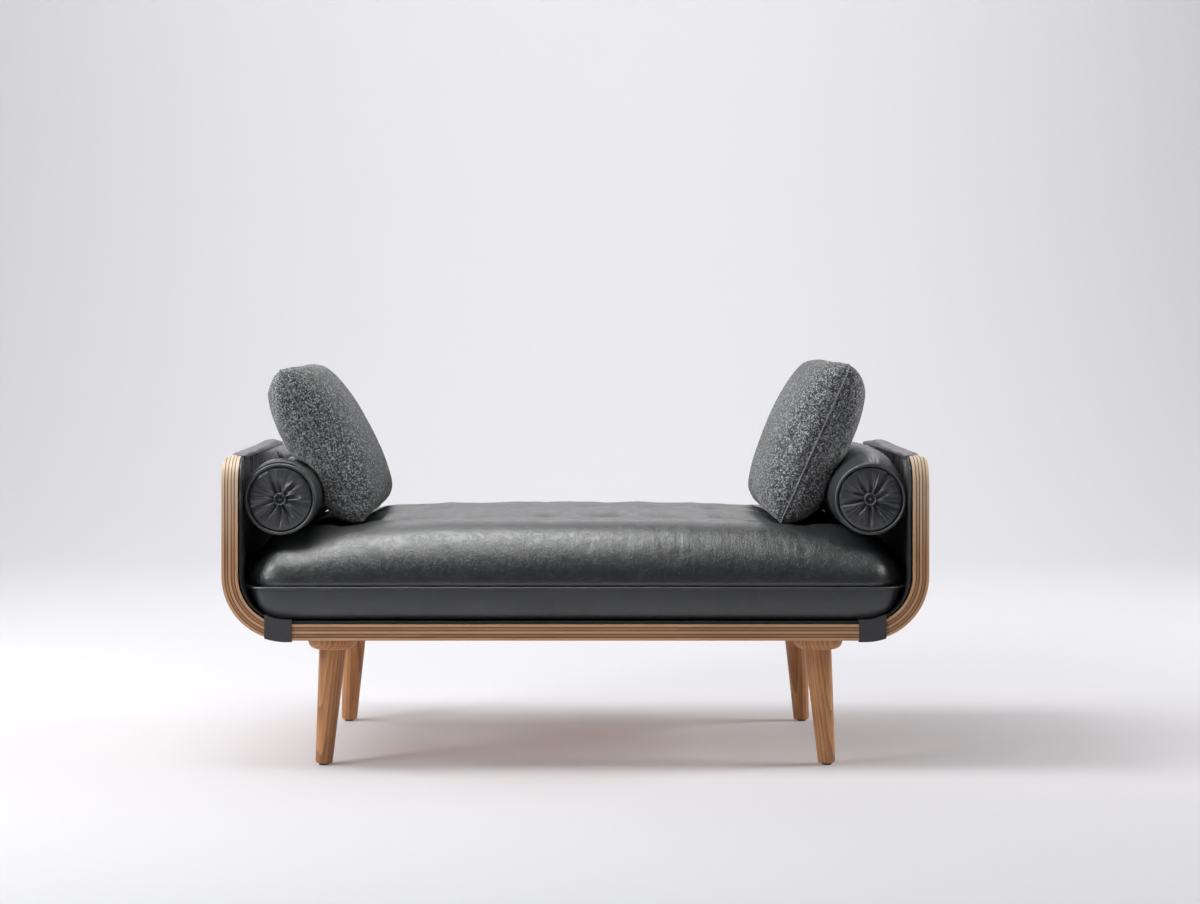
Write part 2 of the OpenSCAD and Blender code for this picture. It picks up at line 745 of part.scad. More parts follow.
// The same shape at both ends of a bolster, with its front pointing along +Z
module at_ends(side) {
    at_bolster(side) for (s = [0, 180])
        rotate([90, 0, s]) translate([0, 0, bolster_l / 2]) children();
}

module bolster_cover(side) {
    color(leather_grey) at_bolster(side) difference() {
        barrel(bolster_r, end_r, bolster_l);
        barrel(bolster_r - leather_t, end_r - leather_t, bolster_l - 2 * leather_t);
        rotate([90, 0, 0]) cylinder(r = opening_r, h = bolster_l + 2 * past, center = true);
    }
}

// The pleated ends stand behind the cover's flange, in front of the core
module bolster_core(side) {
    long = bolster_l - 2 * (leather_t + disc_rim_t);
    color(foam_white) at_bolster(side)
        barrel(bolster_r - leather_t - fit_gap, end_r - leather_t - fit_gap, long);
}

// A pleated end: a shallow ring of stuffing gathered to its button, with tapered pleats
module bolster_ends(side) {
    color(leather_black) at_ends(side) difference() {
        rotate_extrude() polygon(concat(
            [[0, -leather_t - disc_rim_t], [end_r - leather_t - 3 * fit_gap, -leather_t - disc_rim_t],
                [end_r - leather_t - 3 * fit_gap, -leather_t], [opening_r - fit_gap, -leather_t]],
            [for (k = [1:6]) let (t = k / 6) [opening_r - t * (opening_r - button_d / 4),
                pleat_rise * sin(150 * t) - leather_t * (1 - t)]],
            [[0, pleat_rise / 2]]));
        for (k = [0:pleat_count - 1])
            rotate([0, 0, (k + 0.3) * 360 / pleat_count])
                translate([button_d / 4, 0, pleat_rise]) rotate([0, 90 - pleat_slope, 0])
                    cylinder(r1 = pleat_depth, r2 = pleat_tip,
                        h = opening_r - button_d / 4 - pleat_margin);
        translate([0, 0, pleat_rise / 2 - button_sink])
            cylinder(d = button_d + 2 * fit_gap, h = 2 * pleat_rise);
    }
}

module bolster_piping(side) {
    color(leather_grey) at_ends(side) translate([0, 0, piping_d / 2]) rotate_extrude()
        translate([end_r - piping_d / 2 - ring_inset, 0]) circle(d = piping_d, $fn = 32);
}

// A covered button: a low dome with a dished middle
module bolster_buttons(side) {
    color(leather_grey) at_ends(side) translate([0, 0, pleat_rise / 2 - button_sink])
        rotate_extrude() polygon(concat([[0, 0], [button_d / 2, 0]],
            [for (k = [0:5]) let (a = k * 36)
                [button_d / 2 - button_d * 0.17 * (1 - cos(a)), button_h * (0.35 + 0.65 * sin(a))]],
            [[0, button_h * 0.45]]));
}

// Pillows

// Half of a pillow on one side of its seam, upright, with its seam in the plane X = 0
module pillow_half(w, h, t, dir) {
    n = pillow_cells;
    count = (n + 1) * (n + 1);
    points = concat([for (j = [0:n], i = [0:n])
        let (u = pillow_step(i), v = pillow_step(j), p = pillow_side(u, v, w, h))
        [dir * t / 2 * pillow_swell(u, v), p[0], p[1]]], [[0, 0, 0]]);
    loop = grid_loop(n + 1, n + 1);
    skin = concat(grid_faces(n + 1, n + 1), fan(loop, count));
    polyhedron(points, dir > 0 ? skin : [for (f = skin) reversed(f)]);
}
module pillow_lump(w, h, t) {
    n = pillow_cells;
    points = concat([for (s = [1, -1], j = [0:n], i = [0:n])
        let (u = pillow_step(i), v = pillow_step(j), p = pillow_side(u, v, w, h),
            rim = max(abs(u), abs(v)) > 0.999)
        [s * (rim ? 0 : t / 2 * pillow_swell(u, v)), p[0], p[1]]]);
    count = (n + 1) * (n + 1);
    loop = grid_loop(n + 1, n + 1);
    // The back skin shares the front skin's rim
    function shared(k) = let (m = k - count, i = m % (n + 1), j = floor(m / (n + 1)))
        (i == 0 || i == n || j == 0 || j == n) ? m : k;
    polyhedron(points, concat(grid_faces(n + 1, n + 1),
        [for (f = grid_faces(n + 1, n + 1)) [for (k = reversed(f)) shared(k + count)]]));
}
module at_pillow(side) {
    lean = side == left ? lean_left : lean_right;
    press = side == left ? press_left : press_right;
    translate([-side * pillow_x(lean, press), 0, pillow_z(lean)])
        rotate([0, side * lean, 0]) children();
}
// What presses on a pillow: the seat below it and the bolster behind it. Below the bolster's
// widest line the pillow hangs straight down, so that it lifts off freely
module pillow_stops(side, gap) {
    translate([-bench_w / 2, -bench_d / 2, 0])
        cube([bench_w, bench_d, pillow_floor + gap]);
    r = bolster_r + rest_gap + gap;
    bolster_space(side, rest_gap + gap);
    at_bolster(side) translate([-r, -bench_d, -r]) cube([2 * r, 2 * bench_d, r]);
}
// The room inside a pillow's cover, less a gap all round
module pillow_room(side, gap) {
    slack = insert_slack + 4 * gap;
    difference() {
        at_pillow(side) pillow_lump(pillow_w - slack, pillow_h - slack,
            pillow_t - 2 * cloth_t - 4 * gap);
        pillow_stops(side, cloth_t + gap);
    }
}
module pillow_cover(side, dir) {
    color(wool_grey) difference() {
        at_pillow(side) pillow_half(pillow_w, pillow_h, pillow_t, dir);
        pillow_room(side, 0);
        pillow_stops(side, 0);
    }
}
module pillow_insert(side) {
    color(foam_white) pillow_room(side, fit_gap);
}
// The sewn edge: a thin ridge that stands out all round the seam
module pillow_seam(side) {
    n = 4 * pillow_cells;
    loop = grid_loop(pillow_cells + 1, pillow_cells + 1);
    rim = [for (k = loop) let (i = k % (pillow_cells + 1), j = floor(k / (pillow_cells + 1)))
        pillow_side(pillow_step(i), pillow_step(j), pillow_w, pillow_h)];
    points = [for (s = [[-1, 0], [-1, 1], [1, 1], [1, 0]], p = rim)
        let (k = 1 + s[1] * seam_w / norm(p))
        [s[0] * seam_w / 4, k * p[0], k * p[1]]];
    color(wool_grey) difference() {
        at_pillow(side) polyhedron(points, concat(ring_faces(4, n),
            [for (i = [0:n - 1], h = [0, 1]) let (a = 3 * n + i, b = 3 * n + (i + 1) % n,
                c = i, d = (i + 1) % n) h == 0 ? [a, b, c] : [b, d, c]]));
        pillow_stops(side, 0);
    }
}

shell();
base_lining();
end_lining(left);  // end_lining_left
end_lining(right);  // end_lining_right
rim_cap(left);  // rim_cap_left
rim_cap(right);  // rim_cap_right
strap(left);  // strap_left
strap(right);  // strap_right
leg_plate(left, front);  // leg_plate_front_left
leg_plate(right, front);  // leg_plate_front_right
leg_plate(left, back);  // leg_plate_back_left
leg_plate(right, back);  // leg_plate_back_right
leg(left, front);  // leg_front_left
leg(right, front);  // leg_front_right
leg(left, back);  // leg_back_left
leg(right, back);  // leg_back_right
hanger_bolts();
insert_nuts();
plate_screws();
glides();
seat_cover_top();
seat_cover_base();
seat_piping();
seat_core();
seat_tuft_ties();
seat_zip();
bolster_cover(left);  // bolster_left_cover
bolster_core(left);  // bolster_left_core
bolster_ends(left);  // bolster_left_ends
bolster_piping(left);  // bolster_left_piping
bolster_buttons(left);  // bolster_left_buttons
bolster_cover(right);  // bolster_right_cover
bolster_core(right);  // bolster_right_core
bolster_ends(right);  // bolster_right_ends
bolster_piping(right);  // bolster_right_piping
bolster_buttons(right);  // bolster_right_buttons
pillow_cover(left, right);  // pillow_left_inner_cover
pillow_cover(left, left);  // pillow_left_outer_cover
pillow_insert(left);  // pillow_left_insert
pillow_seam(left);  // pillow_left_seam
pillow_cover(right, left);  // pillow_right_inner_cover
pillow_cover(right, right);  // pillow_right_outer_cover
pillow_insert(right);  // pillow_right_insert
pillow_seam(right);  // pillow_right_seam
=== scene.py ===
"""Looks of a daybed bench: a bent oak shell lined with leather, a tufted leather seat,
pleated bolsters and grey wool pillows, shown in a pale studio.

All sizes are in metres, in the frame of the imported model: X along the bench, Y from the
front to the back, Z up, with the origin on the floor.
"""

import logging
import math
from collections.abc import Callable, Iterator, Sequence
from contextlib import contextmanager
from dataclasses import dataclass, field
from enum import Enum

import bpy
import numpy as np
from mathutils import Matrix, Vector, noise


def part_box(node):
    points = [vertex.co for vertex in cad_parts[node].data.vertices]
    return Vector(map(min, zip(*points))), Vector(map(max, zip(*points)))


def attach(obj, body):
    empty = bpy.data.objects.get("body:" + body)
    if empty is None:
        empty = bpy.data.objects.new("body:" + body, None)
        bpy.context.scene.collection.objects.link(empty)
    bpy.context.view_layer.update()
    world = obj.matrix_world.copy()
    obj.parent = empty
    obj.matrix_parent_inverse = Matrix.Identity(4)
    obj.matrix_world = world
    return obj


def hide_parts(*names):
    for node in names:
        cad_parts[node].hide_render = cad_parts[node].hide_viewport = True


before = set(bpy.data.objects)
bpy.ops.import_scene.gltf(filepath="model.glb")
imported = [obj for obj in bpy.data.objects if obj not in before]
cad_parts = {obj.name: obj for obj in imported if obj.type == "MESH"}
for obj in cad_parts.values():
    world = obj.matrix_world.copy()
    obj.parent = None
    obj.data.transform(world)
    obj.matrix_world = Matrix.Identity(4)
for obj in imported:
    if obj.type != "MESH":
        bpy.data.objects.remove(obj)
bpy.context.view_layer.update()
LOG = logging.getLogger("daybed")
Points = np.ndarray
TOUCH = 0.0004


class Side(Enum):
    """The two ends of the bench, by the sign of X."""

    LEFT = -1
    RIGHT = 1

    @property
    def word(self) -> str:
        """The side's name as the nodes use it."""
        return self.name.lower()


# Mesh tools


def deselect_all() -> None:
    """Deselects every object."""
    bpy.ops.object.select_all(action="DESELECT")


def activate(piece: bpy.types.Object) -> None:
    """Makes a piece the only selected and the active one."""
    deselect_all()
    piece.select_set(True)
    bpy.context.view_layer.objects.active = piece


def adopt(name: str) -> bpy.types.Object:
    """Names the primitive that was just added, and its mesh.

    Args:
        name: The piece's name.

    Returns:
        The piece.
    """
    piece = bpy.context.object
    piece.name = name
    piece.data.name = name
    return piece


@contextmanager
def editing(piece: bpy.types.Object) -> Iterator[None]:
    """Opens a piece in edit mode, with all of it selected.

    Args:
        piece: The piece to edit.
    """
    activate(piece)
    bpy.ops.object.mode_set(mode="EDIT")
    bpy.ops.mesh.select_all(action="SELECT")
    yield
    bpy.ops.object.mode_set(mode="OBJECT")


def points_of(piece: bpy.types.Object) -> Points:
    """Positions of a piece's vertices, one row each."""
    flat = np.empty(len(piece.data.vertices) * 3, np.float32)
    piece.data.vertices.foreach_get("co", flat)
    return flat.reshape(-1, 3).astype(float)


def set_points(piece: bpy.types.Object, points: Points) -> None:
    """Moves a piece's vertices to new positions."""
    piece.data.vertices.foreach_set("co", points.astype(np.float32).ravel())
    piece.data.update()


def close_up(piece: bpy.types.Object, gap: float = 1e-5) -> None:
    """Merges doubles and turns all faces outwards.

    Args:
        piece: The piece to clean.
        gap: Distance under which two vertices are one.
    """
    with editing(piece):
        bpy.ops.mesh.remove_doubles(threshold=gap)
        bpy.ops.mesh.normals_make_consistent(inside=False)
    if sum(f.center.dot(f.normal) * f.area for f in piece.data.polygons) < 0:
        with editing(piece):
            bpy.ops.mesh.flip_normals()


def smooth(piece: bpy.types.Object, angle: float = 40) -> None:
    """Shades a piece smooth, apart from edges sharper than an angle in degrees."""
    activate(piece)
    bpy.ops.object.shade_smooth_by_angle(angle=math.radians(angle))


def modify(piece: bpy.types.Object, kind: str, **values: object) -> None:
    """Adds a modifier with its settings and applies it.

    Args:
        piece: The piece that it shapes.
        kind: The modifier's type.
        values: Its settings.
    """
    activate(piece)
    modifier = piece.modifiers.new(kind.lower(), kind)
    for key, value in values.items():
        setattr(modifier, key, value)
    bpy.ops.object.modifier_apply(modifier=modifier.name)


def sheet_of(name: str, columns: int, rows: int,
             shape: Callable[[Points, Points], Points]) -> bpy.types.Object:
    """A grid whose points a formula places.

    Args:
        name: The piece's name.
        columns: Cells along u.
        rows: Cells along v.
        shape: Gives the positions for u and v, each from -1 to 1.

    Returns:
        The piece, with its faces as the grid has them.
    """
    deselect_all()
    bpy.ops.mesh.primitive_grid_add(x_subdivisions=columns, y_subdivisions=rows, size=2)
    piece = adopt(name)
    plan = points_of(piece)
    set_points(piece, shape(plan[:, 0], plan[:, 1]))
    return piece


def tube_of(name: str, path: Points, radius: float, cyclic: bool = True,
            sides: int = 3) -> bpy.types.Object:
    """A round cord along a path: an edge loop turned into a curve, given a bevel, and meshed.

    Args:
        name: The piece's name.
        path: Its points, one row each.
        radius: The cord's radius.
        cyclic: Whether it closes on itself.
        sides: The bevel's resolution.

    Returns:
        The piece.
    """
    deselect_all()
    bpy.ops.mesh.primitive_circle_add(vertices=len(path), fill_type="NOTHING")
    piece = adopt(name)
    set_points(piece, path)
    if not cyclic:
        last = len(path) - 1
        for edge in piece.data.edges:
            edge.select = {*edge.vertices} == {0, last}
        for vertex in piece.data.vertices:
            vertex.select = False
        activate(piece)
        bpy.ops.object.mode_set(mode="EDIT")
        bpy.ops.mesh.select_mode(type="EDGE")
        bpy.ops.mesh.delete(type="EDGE_FACE")
        bpy.ops.object.mode_set(mode="OBJECT")
    activate(piece)
    bpy.ops.object.convert(target="CURVE")
    curve = bpy.context.object.data
    curve.bevel_depth = radius
    curve.bevel_resolution = sides
    curve.use_fill_caps = not cyclic
    bpy.ops.object.convert(target="MESH")
    piece = adopt(name)
    close_up(piece)
    return piece


def waves(points: Points, scale: float, seed: float, octaves: int = 3) -> np.ndarray:
    """Soft noise at some points.

    Args:
        points: Where it is read, one row each.
        scale: Lumps for each metre.
        seed: Shifts the pattern.
        octaves: How many finer layers it has.

    Returns:
        A value from about -1 to 1 for each point.
    """
    shift = Vector((seed * 3.1, seed * 7.7, seed * 5.3))
    return np.array([noise.fractal(Vector(p) * scale + shift, 0.9, 2.0, octaves)
                     for p in points])


def arch(depth: np.ndarray, width: float, power: float = 2.0) -> np.ndarray:
    """A rounded shoulder: 0 at an edge, 1 from one width in.

    Args:
        depth: Distances in from the edge.
        width: The shoulder's width.
        power: 2 for an ellipse, less for a flatter slope.

    Returns:
        The height at each distance.
    """
    share = np.clip(depth / width, 0, 1)
    return (1 - (1 - share) ** power) ** (1 / power)


def bell(value: np.ndarray, middle: float, width: float) -> np.ndarray:
    """1 at a middle, falling off to both sides over a width."""
    return np.exp(-((value - middle) / width) ** 2)


def ease(value: np.ndarray, first: float, last: float) -> np.ndarray:
    """Rises softly from 0 at a first value to 1 at a last one."""
    share = np.clip((value - first) / (last - first), 0, 1)
    return share ** 2 * (3 - 2 * share)


def even(share: np.ndarray, half: float, shoulder: float, rise: float) -> np.ndarray:
    """Places grid lines evenly over a flat stretch and its two rounded shoulders.

    Args:
        share: Grid coordinates from -1 to 1.
        half: Half of the stretch with its shoulders.
        shoulder: The width of a shoulder.
        rise: The height of a shoulder.

    Returns:
        The coordinates of the lines.
    """
    flat = half - shoulder
    quarter = math.pi / 4 * (shoulder + rise)
    run = np.abs(share) * (flat + quarter)
    turn = np.clip((run - flat) / quarter, 0, 1) * math.pi / 2
    return np.sign(share) * np.where(run < flat, run, flat + shoulder * np.sin(turn))


def keep_out(points: Points, centre: tuple[float, float], radius: float,
             softness: float = 0.003, hang: bool = False) -> Points:
    """Presses points out of a cylinder that lies along Y.

    Args:
        points: The points, one row each.
        centre: The cylinder's X and Z.
        radius: Its radius.
        softness: How widely the pressed edge is rounded.
        hang: Whether points below the axis are pushed straight sideways.

    Returns:
        The moved points.
    """
    out = points.copy()
    dx = points[:, 0] - centre[0]
    dz = points[:, 2] - centre[1]
    up = np.maximum(dz, 0) if hang else dz
    far = np.maximum(np.hypot(dx, up), 1e-6)
    near = radius + softness * np.logaddexp(0, (far - radius) / softness)
    pull = np.where(far < radius + 8 * softness, near / far, 1)
    out[:, 0] = centre[0] + dx * pull
    out[:, 2] = points[:, 2] + up * (pull - 1)
    return out


# Places that the frame gives


@dataclass(frozen=True)
class Places:
    """Where the CAD pieces are, so that the dressed ones lie on them."""

    half_width: float
    half_depth: float
    shell_low: float
    shell_top: float
    seam_z: float
    seat_z: float
    bolster_x: float
    bolster_z: float
    bolster_r: float

    @classmethod
    def read(cls) -> "Places":
        """Reads the places from the frame."""
        low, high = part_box("shell")
        piping_low, piping_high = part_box("seat_piping")
        base_low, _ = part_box("seat_cover_base")
        roll_low, roll_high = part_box("bolster_right_cover")
        rim_low, rim_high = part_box("bolster_right_piping")
        return cls(
            half_width=high.x,
            half_depth=high.y,
            shell_low=low.z,
            shell_top=high.z,
            seam_z=(piping_low.z + piping_high.z) / 2,
            seat_z=base_low.z,
            bolster_x=(rim_low.x + rim_high.x) / 2,
            bolster_z=(rim_low.z + rim_high.z) / 2,
            bolster_r=(roll_high.x - roll_low.x) / 2,
        )


# Shader tools


def shade(red: int, green: int, blue: int) -> tuple[float, float, float, float]:
    """A display colour from 0 to 255 as a linear one."""
    def linear(value: int) -> float:
        """One channel."""
        share = value / 255
        return share / 12.92 if share <= 0.04045 else ((share + 0.055) / 1.055) ** 2.4
    return linear(red), linear(green), linear(blue), 1.0


class Wiring:
    """Adds and links shader nodes in one tree."""

    def __init__(self, tree: bpy.types.NodeTree) -> None:
        """Starts on a tree.

        Args:
            tree: The node tree to fill.
        """
        self.tree = tree

    def node(self, kind: str, inputs: dict[str, object] | None = None,
             **values: object) -> bpy.types.Node:
        """Adds a node.

        Args:
            kind: Its type, without the ShaderNode prefix.
            inputs: Input names with the values or sockets that feed them.
            values: Its settings.

        Returns:
            The node.
        """
        node = self.tree.nodes.new("ShaderNode" + kind)
        for key, value in values.items():
            setattr(node, key, value)
        for key, value in (inputs or {}).items():
            self.feed(node.inputs[key], value)
        return node

    def feed(self, socket: bpy.types.NodeSocket, value: object) -> None:
        """Links a socket to another, or sets its value."""
        if isinstance(value, bpy.types.NodeSocket):
            self.tree.links.new(value, socket)
        else:
            socket.default_value = value

    def math(self, operation: str, *values: object, clamp: bool = False) -> bpy.types.NodeSocket:
        """A sum of one, two or three values.

        Args:
            operation: The Math node's operation.
            values: Numbers or sockets.
            clamp: Whether the result stays within 0 and 1.

        Returns:
            The result's socket.
        """
        node = self.node("Math", operation=operation, use_clamp=clamp)
        for socket, value in zip(node.inputs, values):
            self.feed(socket, value)
        return node.outputs[0]

    def vector(self, operation: str, first: object, second: object) -> bpy.types.NodeSocket:
        """A sum of two vectors."""
        node = self.node("VectorMath", operation=operation)
        self.feed(node.inputs[0], first)
        self.feed(node.inputs[1], second)
        return node.outputs[0]

    def noise(self, where: bpy.types.NodeSocket, scale: float, detail: float = 2.0,
              roughness: float = 0.5) -> bpy.types.NodeSocket:
        """A noise texture's value."""
        node = self.node("TexNoise", {"Vector": where, "Scale": scale, "Detail": detail,
                                      "Roughness": roughness})
        return node.outputs[0]

    def ramp(self, value: bpy.types.NodeSocket,
             stops: Sequence[tuple[float, object]]) -> bpy.types.NodeSocket:
        """Colours along a value.

        Args:
            value: The value to colour.
            stops: Places from 0 to 1 with their colours, or plain grey levels.

        Returns:
            The colour's socket.
        """
        node = self.node("ValToRGB", {"Fac": value})
        marks = node.color_ramp.elements
        while len(marks) < len(stops):
            marks.new(0.5)
        for mark, (place, colour) in zip(marks, stops):
            mark.position = place
            mark.color = (colour, colour, colour, 1) if isinstance(colour, float) else colour
        return node.outputs[0]

    def mix(self, share: object, first: object, second: object,
            blend: str = "MIX") -> bpy.types.NodeSocket:
        """Blends two colours.

        Args:
            share: How much of the second shows.
            first: The first colour or its socket.
            second: The second colour or its socket.
            blend: How they blend.

        Returns:
            The colour's socket.
        """
        node = self.node("Mix", data_type="RGBA", blend_type=blend)
        self.feed(node.inputs[0], share)
        self.feed(node.inputs[6], first)
        self.feed(node.inputs[7], second)
        return node.outputs[2]

    def sway(self, where: bpy.types.NodeSocket, scale: float, detail: float,
             reach: float) -> bpy.types.NodeSocket:
        """A place that noise shifts a little, so that a pattern on it is irregular.

        Args:
            where: The place.
            scale: Lumps of the noise for each metre.
            detail: Its finer layers.
            reach: How far it shifts the place.

        Returns:
            The shifted place's socket.
        """
        bend = self.node("TexNoise", {"Vector": where, "Scale": scale, "Detail": detail})
        shift = self.node("VectorMath", operation="SCALE")
        self.feed(shift.inputs[0], bend.outputs["Color"])
        self.feed(shift.inputs["Scale"], reach)
        return self.vector("ADD", where, shift.outputs[0])

    def length(self, first: bpy.types.NodeSocket,
               second: bpy.types.NodeSocket) -> bpy.types.NodeSocket:
        """The length of a flat vector, from its two sides."""
        squares = self.math("ADD", self.math("MULTIPLY", first, first),
                            self.math("MULTIPLY", second, second))
        return self.math("SQRT", squares)

    def past(self, value: bpy.types.NodeSocket, start: float) -> bpy.types.NodeSocket:
        """How far a value is past a start, and 0 before it."""
        return self.math("MAXIMUM", self.math("SUBTRACT", value, start), 0.0)

    def climb(self, value: bpy.types.NodeSocket, low: float,
              high: float) -> bpy.types.NodeSocket:
        """A value's rise from 0 at a low end to 1 at a high one."""
        node = self.node("MapRange", {"Value": value, "From Min": low, "From Max": high})
        return node.outputs[0]

    def between(self, value: bpy.types.NodeSocket, first: float,
                last: float) -> bpy.types.NodeSocket:
        """A result that runs from a first number to a last one as a value goes from 0 to 1."""
        node = self.node("MapRange", {"Value": value, "To Min": first, "To Max": last})
        return node.outputs[0]

    def place(self) -> bpy.types.NodeSocket:
        """The point's place in the bench's own frame."""
        return self.node("TexCoord").outputs["Object"]

    def split(self, where: bpy.types.NodeSocket) -> list[bpy.types.NodeSocket]:
        """The X, Y and Z of a vector."""
        return list(self.node("SeparateXYZ", {"Vector": where}).outputs)

    def join(self, x: object, y: object, z: object) -> bpy.types.NodeSocket:
        """A vector from its X, Y and Z."""
        return self.node("CombineXYZ", {"X": x, "Y": y, "Z": z}).outputs[0]


def new_group(name: str, inputs: Sequence[tuple[str, str, object]],
              outputs: Sequence[tuple[str, str]]
              ) -> tuple[bpy.types.NodeTree, Wiring, dict[str, bpy.types.NodeSocket],
                         bpy.types.Node]:
    """Starts a shader node group with named inputs and outputs.

    Args:
        name: The group's name.
        inputs: Name, socket type and default of each input.
        outputs: Name and socket type of each output.

    Returns:
        The tree, its wiring, its input sockets by name and its output node.
    """
    tree = bpy.data.node_groups.new(name, "ShaderNodeTree")
    for label, kind, default in inputs:
        socket = tree.interface.new_socket(label, in_out="INPUT", socket_type=kind)
        if default is not None:
            socket.default_value = default
    for label, kind in outputs:
        tree.interface.new_socket(label, in_out="OUTPUT", socket_type=kind)
    source = tree.nodes.new("NodeGroupInput")
    drain = tree.nodes.new("NodeGroupOutput")
    return tree, Wiring(tree), {s.name: s for s in source.outputs}, drain


VECTOR = "NodeSocketVector"
FLOAT = "NodeSocketFloat"


def hide_group() -> bpy.types.NodeTree:
    """Leather's surface: pebbled grain, fine creases and slow changes of tone.

    Returns:
        The group, with outputs Height, Tone and Gloss from 0 to 1.
    """
    tree, wire, given, drain = new_group(
        "leather_hide", [("Place", VECTOR, None), ("Pebbles", FLOAT, 900.0),
                         ("Creases", FLOAT, 60.0)],
        [("Height", FLOAT), ("Tone", FLOAT), ("Gloss", FLOAT)])
    where = wire.sway(given["Place"], 160.0, 2.0, 0.0012)
    pebble = wire.node("TexVoronoi", {"Vector": where, "Scale": given["Pebbles"]},
                       feature="SMOOTH_F1")
    crease = wire.node("TexNoise", {"Vector": where, "Scale": given["Creases"], "Detail": 6.0,
                                    "Roughness": 0.62})
    ridge = wire.math("ABSOLUTE", wire.math("SUBTRACT", crease.outputs[0], 0.5))
    line = wire.math("SUBTRACT", 1.0, wire.math("MULTIPLY", ridge, 9.0), clamp=True)
    fold = wire.math("POWER", line, 3.0)
    pebbles = wire.math("MULTIPLY", pebble.outputs["Distance"], 0.45)
    height = wire.math("SUBTRACT", wire.math("SUBTRACT", 0.8, pebbles),
                       wire.math("MULTIPLY", fold, 0.35), clamp=True)
    slow = wire.noise(given["Place"], 7.0, 4.0, 0.55)
    cloud = wire.noise(given["Place"], 38.0, 3.0, 0.6)
    wire.feed(drain.inputs["Height"], height)
    wire.feed(drain.inputs["Tone"], wire.math("ADD", wire.math("MULTIPLY", slow, 0.7),
                                              wire.math("MULTIPLY", cloud, 0.3), clamp=True))
    wire.feed(drain.inputs["Gloss"], wire.math("SUBTRACT", wire.math("MULTIPLY", cloud, 1.2),
                                               wire.math("MULTIPLY", fold, 0.3), clamp=True))
    return tree


def figure_group() -> bpy.types.NodeTree:
    """Oak's figure: growth bands, pores and flecks that run along X of the given place.

    Returns:
        The group, with outputs Band, Pores and Height from 0 to 1.
    """
    tree, wire, given, drain = new_group(
        "oak_figure", [("Place", VECTOR, None), ("Bands", FLOAT, 70.0)],
        [("Band", FLOAT), ("Pores", FLOAT), ("Height", FLOAT)])
    along, wide, deep = wire.split(given["Place"])
    slow = wire.join(wire.math("MULTIPLY", along, 0.09), wide, deep)
    sway = wire.noise(slow, 16.0, 3.0, 0.5)
    far = wire.math("ADD", wire.math("MULTIPLY", wide, given["Bands"]),
                    wire.math("MULTIPLY", deep, given["Bands"]))
    ring = wire.math("FRACT", wire.math("ADD", far, wire.math("MULTIPLY", sway, 5.0)))
    band = wire.math("POWER", ring, 1.6)
    mottle = wire.noise(wire.join(wire.math("MULTIPLY", along, 0.16), wide, deep), 55.0, 4.0, 0.6)
    lined = wire.noise(wire.join(wire.math("MULTIPLY", along, 0.035), wide, deep), 620.0, 2.0, 0.6)
    pore = wire.math("MULTIPLY", wire.math("SUBTRACT", lined, 0.56), 9.0, clamp=True)
    pores = wire.math("MULTIPLY", pore, wire.math("ADD", 0.35, wire.math("MULTIPLY", band, 0.65)))
    tone = wire.math("ADD", wire.math("MULTIPLY", band, 0.35), wire.math("MULTIPLY", mottle, 0.65))
    wire.feed(drain.inputs["Band"], tone)
    wire.feed(drain.inputs["Pores"], pores)
    wire.feed(drain.inputs["Height"], wire.math("SUBTRACT", 1.0, pores))
    return tree


def loops_group() -> bpy.types.NodeTree:
    """Looped wool: yarn loops of random tone, light, middle or dark, each a small bump.

    Returns:
        The group, with outputs Tone and Height from 0 to 1.
    """
    tree, wire, given, drain = new_group(
        "wool_loops", [("Place", VECTOR, None), ("Loops", FLOAT, 450.0)],
        [("Tone", FLOAT), ("Height", FLOAT)])
    where = wire.sway(given["Place"], 300.0, 3.0, 0.0012)
    cell = wire.node("TexVoronoi", {"Vector": where, "Scale": given["Loops"]})
    lot = wire.split(cell.outputs["Color"])[0]
    fleck = wire.noise(where, 950.0, 1.0, 0.5)
    tone = wire.math("ADD", wire.math("MULTIPLY", lot, 0.8), wire.math("MULTIPLY", fleck, 0.2))
    wire.feed(drain.inputs["Tone"], tone)
    round_off = wire.math("SUBTRACT", 1.0, cell.outputs["Distance"], clamp=True)
    wire.feed(drain.inputs["Height"], wire.math("ADD", wire.math("MULTIPLY", round_off, 0.7),
                                                wire.math("MULTIPLY", fleck, 0.3)))
    return tree


@dataclass(frozen=True)
class Hide:
    """A leather: its darkest and its palest display colour, its roughness and its grain."""

    name: str
    low: tuple[int, int, int]
    high: tuple[int, int, int]
    roughness: float
    pebbles: float = 900.0
    creases: float = 60.0
    depth: float = 0.00035
    ripple: float = 0.0


# One leather in two copies: the top's copy is darker as painted shade, and the copy for the boxing
# and rolls is paler as painted light
SEAT_TOP_SHADED = Hide("charcoal_leather_rippled_shaded", (35, 37, 39), (47, 49, 51), 0.38, ripple=1.5)
SEAT_SIDE_LIT = Hide("charcoal_leather", (46, 48, 50), (58, 60, 62), 0.38)
PLEATED = Hide("charcoal_leather_pleated", (44, 46, 48), (56, 58, 60), 0.40, depth=0.0003)
CAP = Hide("cap_leather", (50, 52, 56), (64, 66, 70), 0.36)
STRAP = Hide("strap_leather", (28, 29, 32), (38, 39, 42), 0.55, pebbles=1300.0)


@dataclass(frozen=True)
class Oak:
    """Oak: display colours of its early wood, the wood between, and its late wood and pores,
    and how many bands it has for each metre.
    """

    pale: tuple[int, int, int]
    mid: tuple[int, int, int]
    dark: tuple[int, int, int]
    bands: float


TURNED = Oak((220, 164, 112), (192, 134, 86), (136, 84, 48), 95.0)
FACE = Oak((204, 154, 108), (172, 122, 82), (112, 72, 46), 34.0)


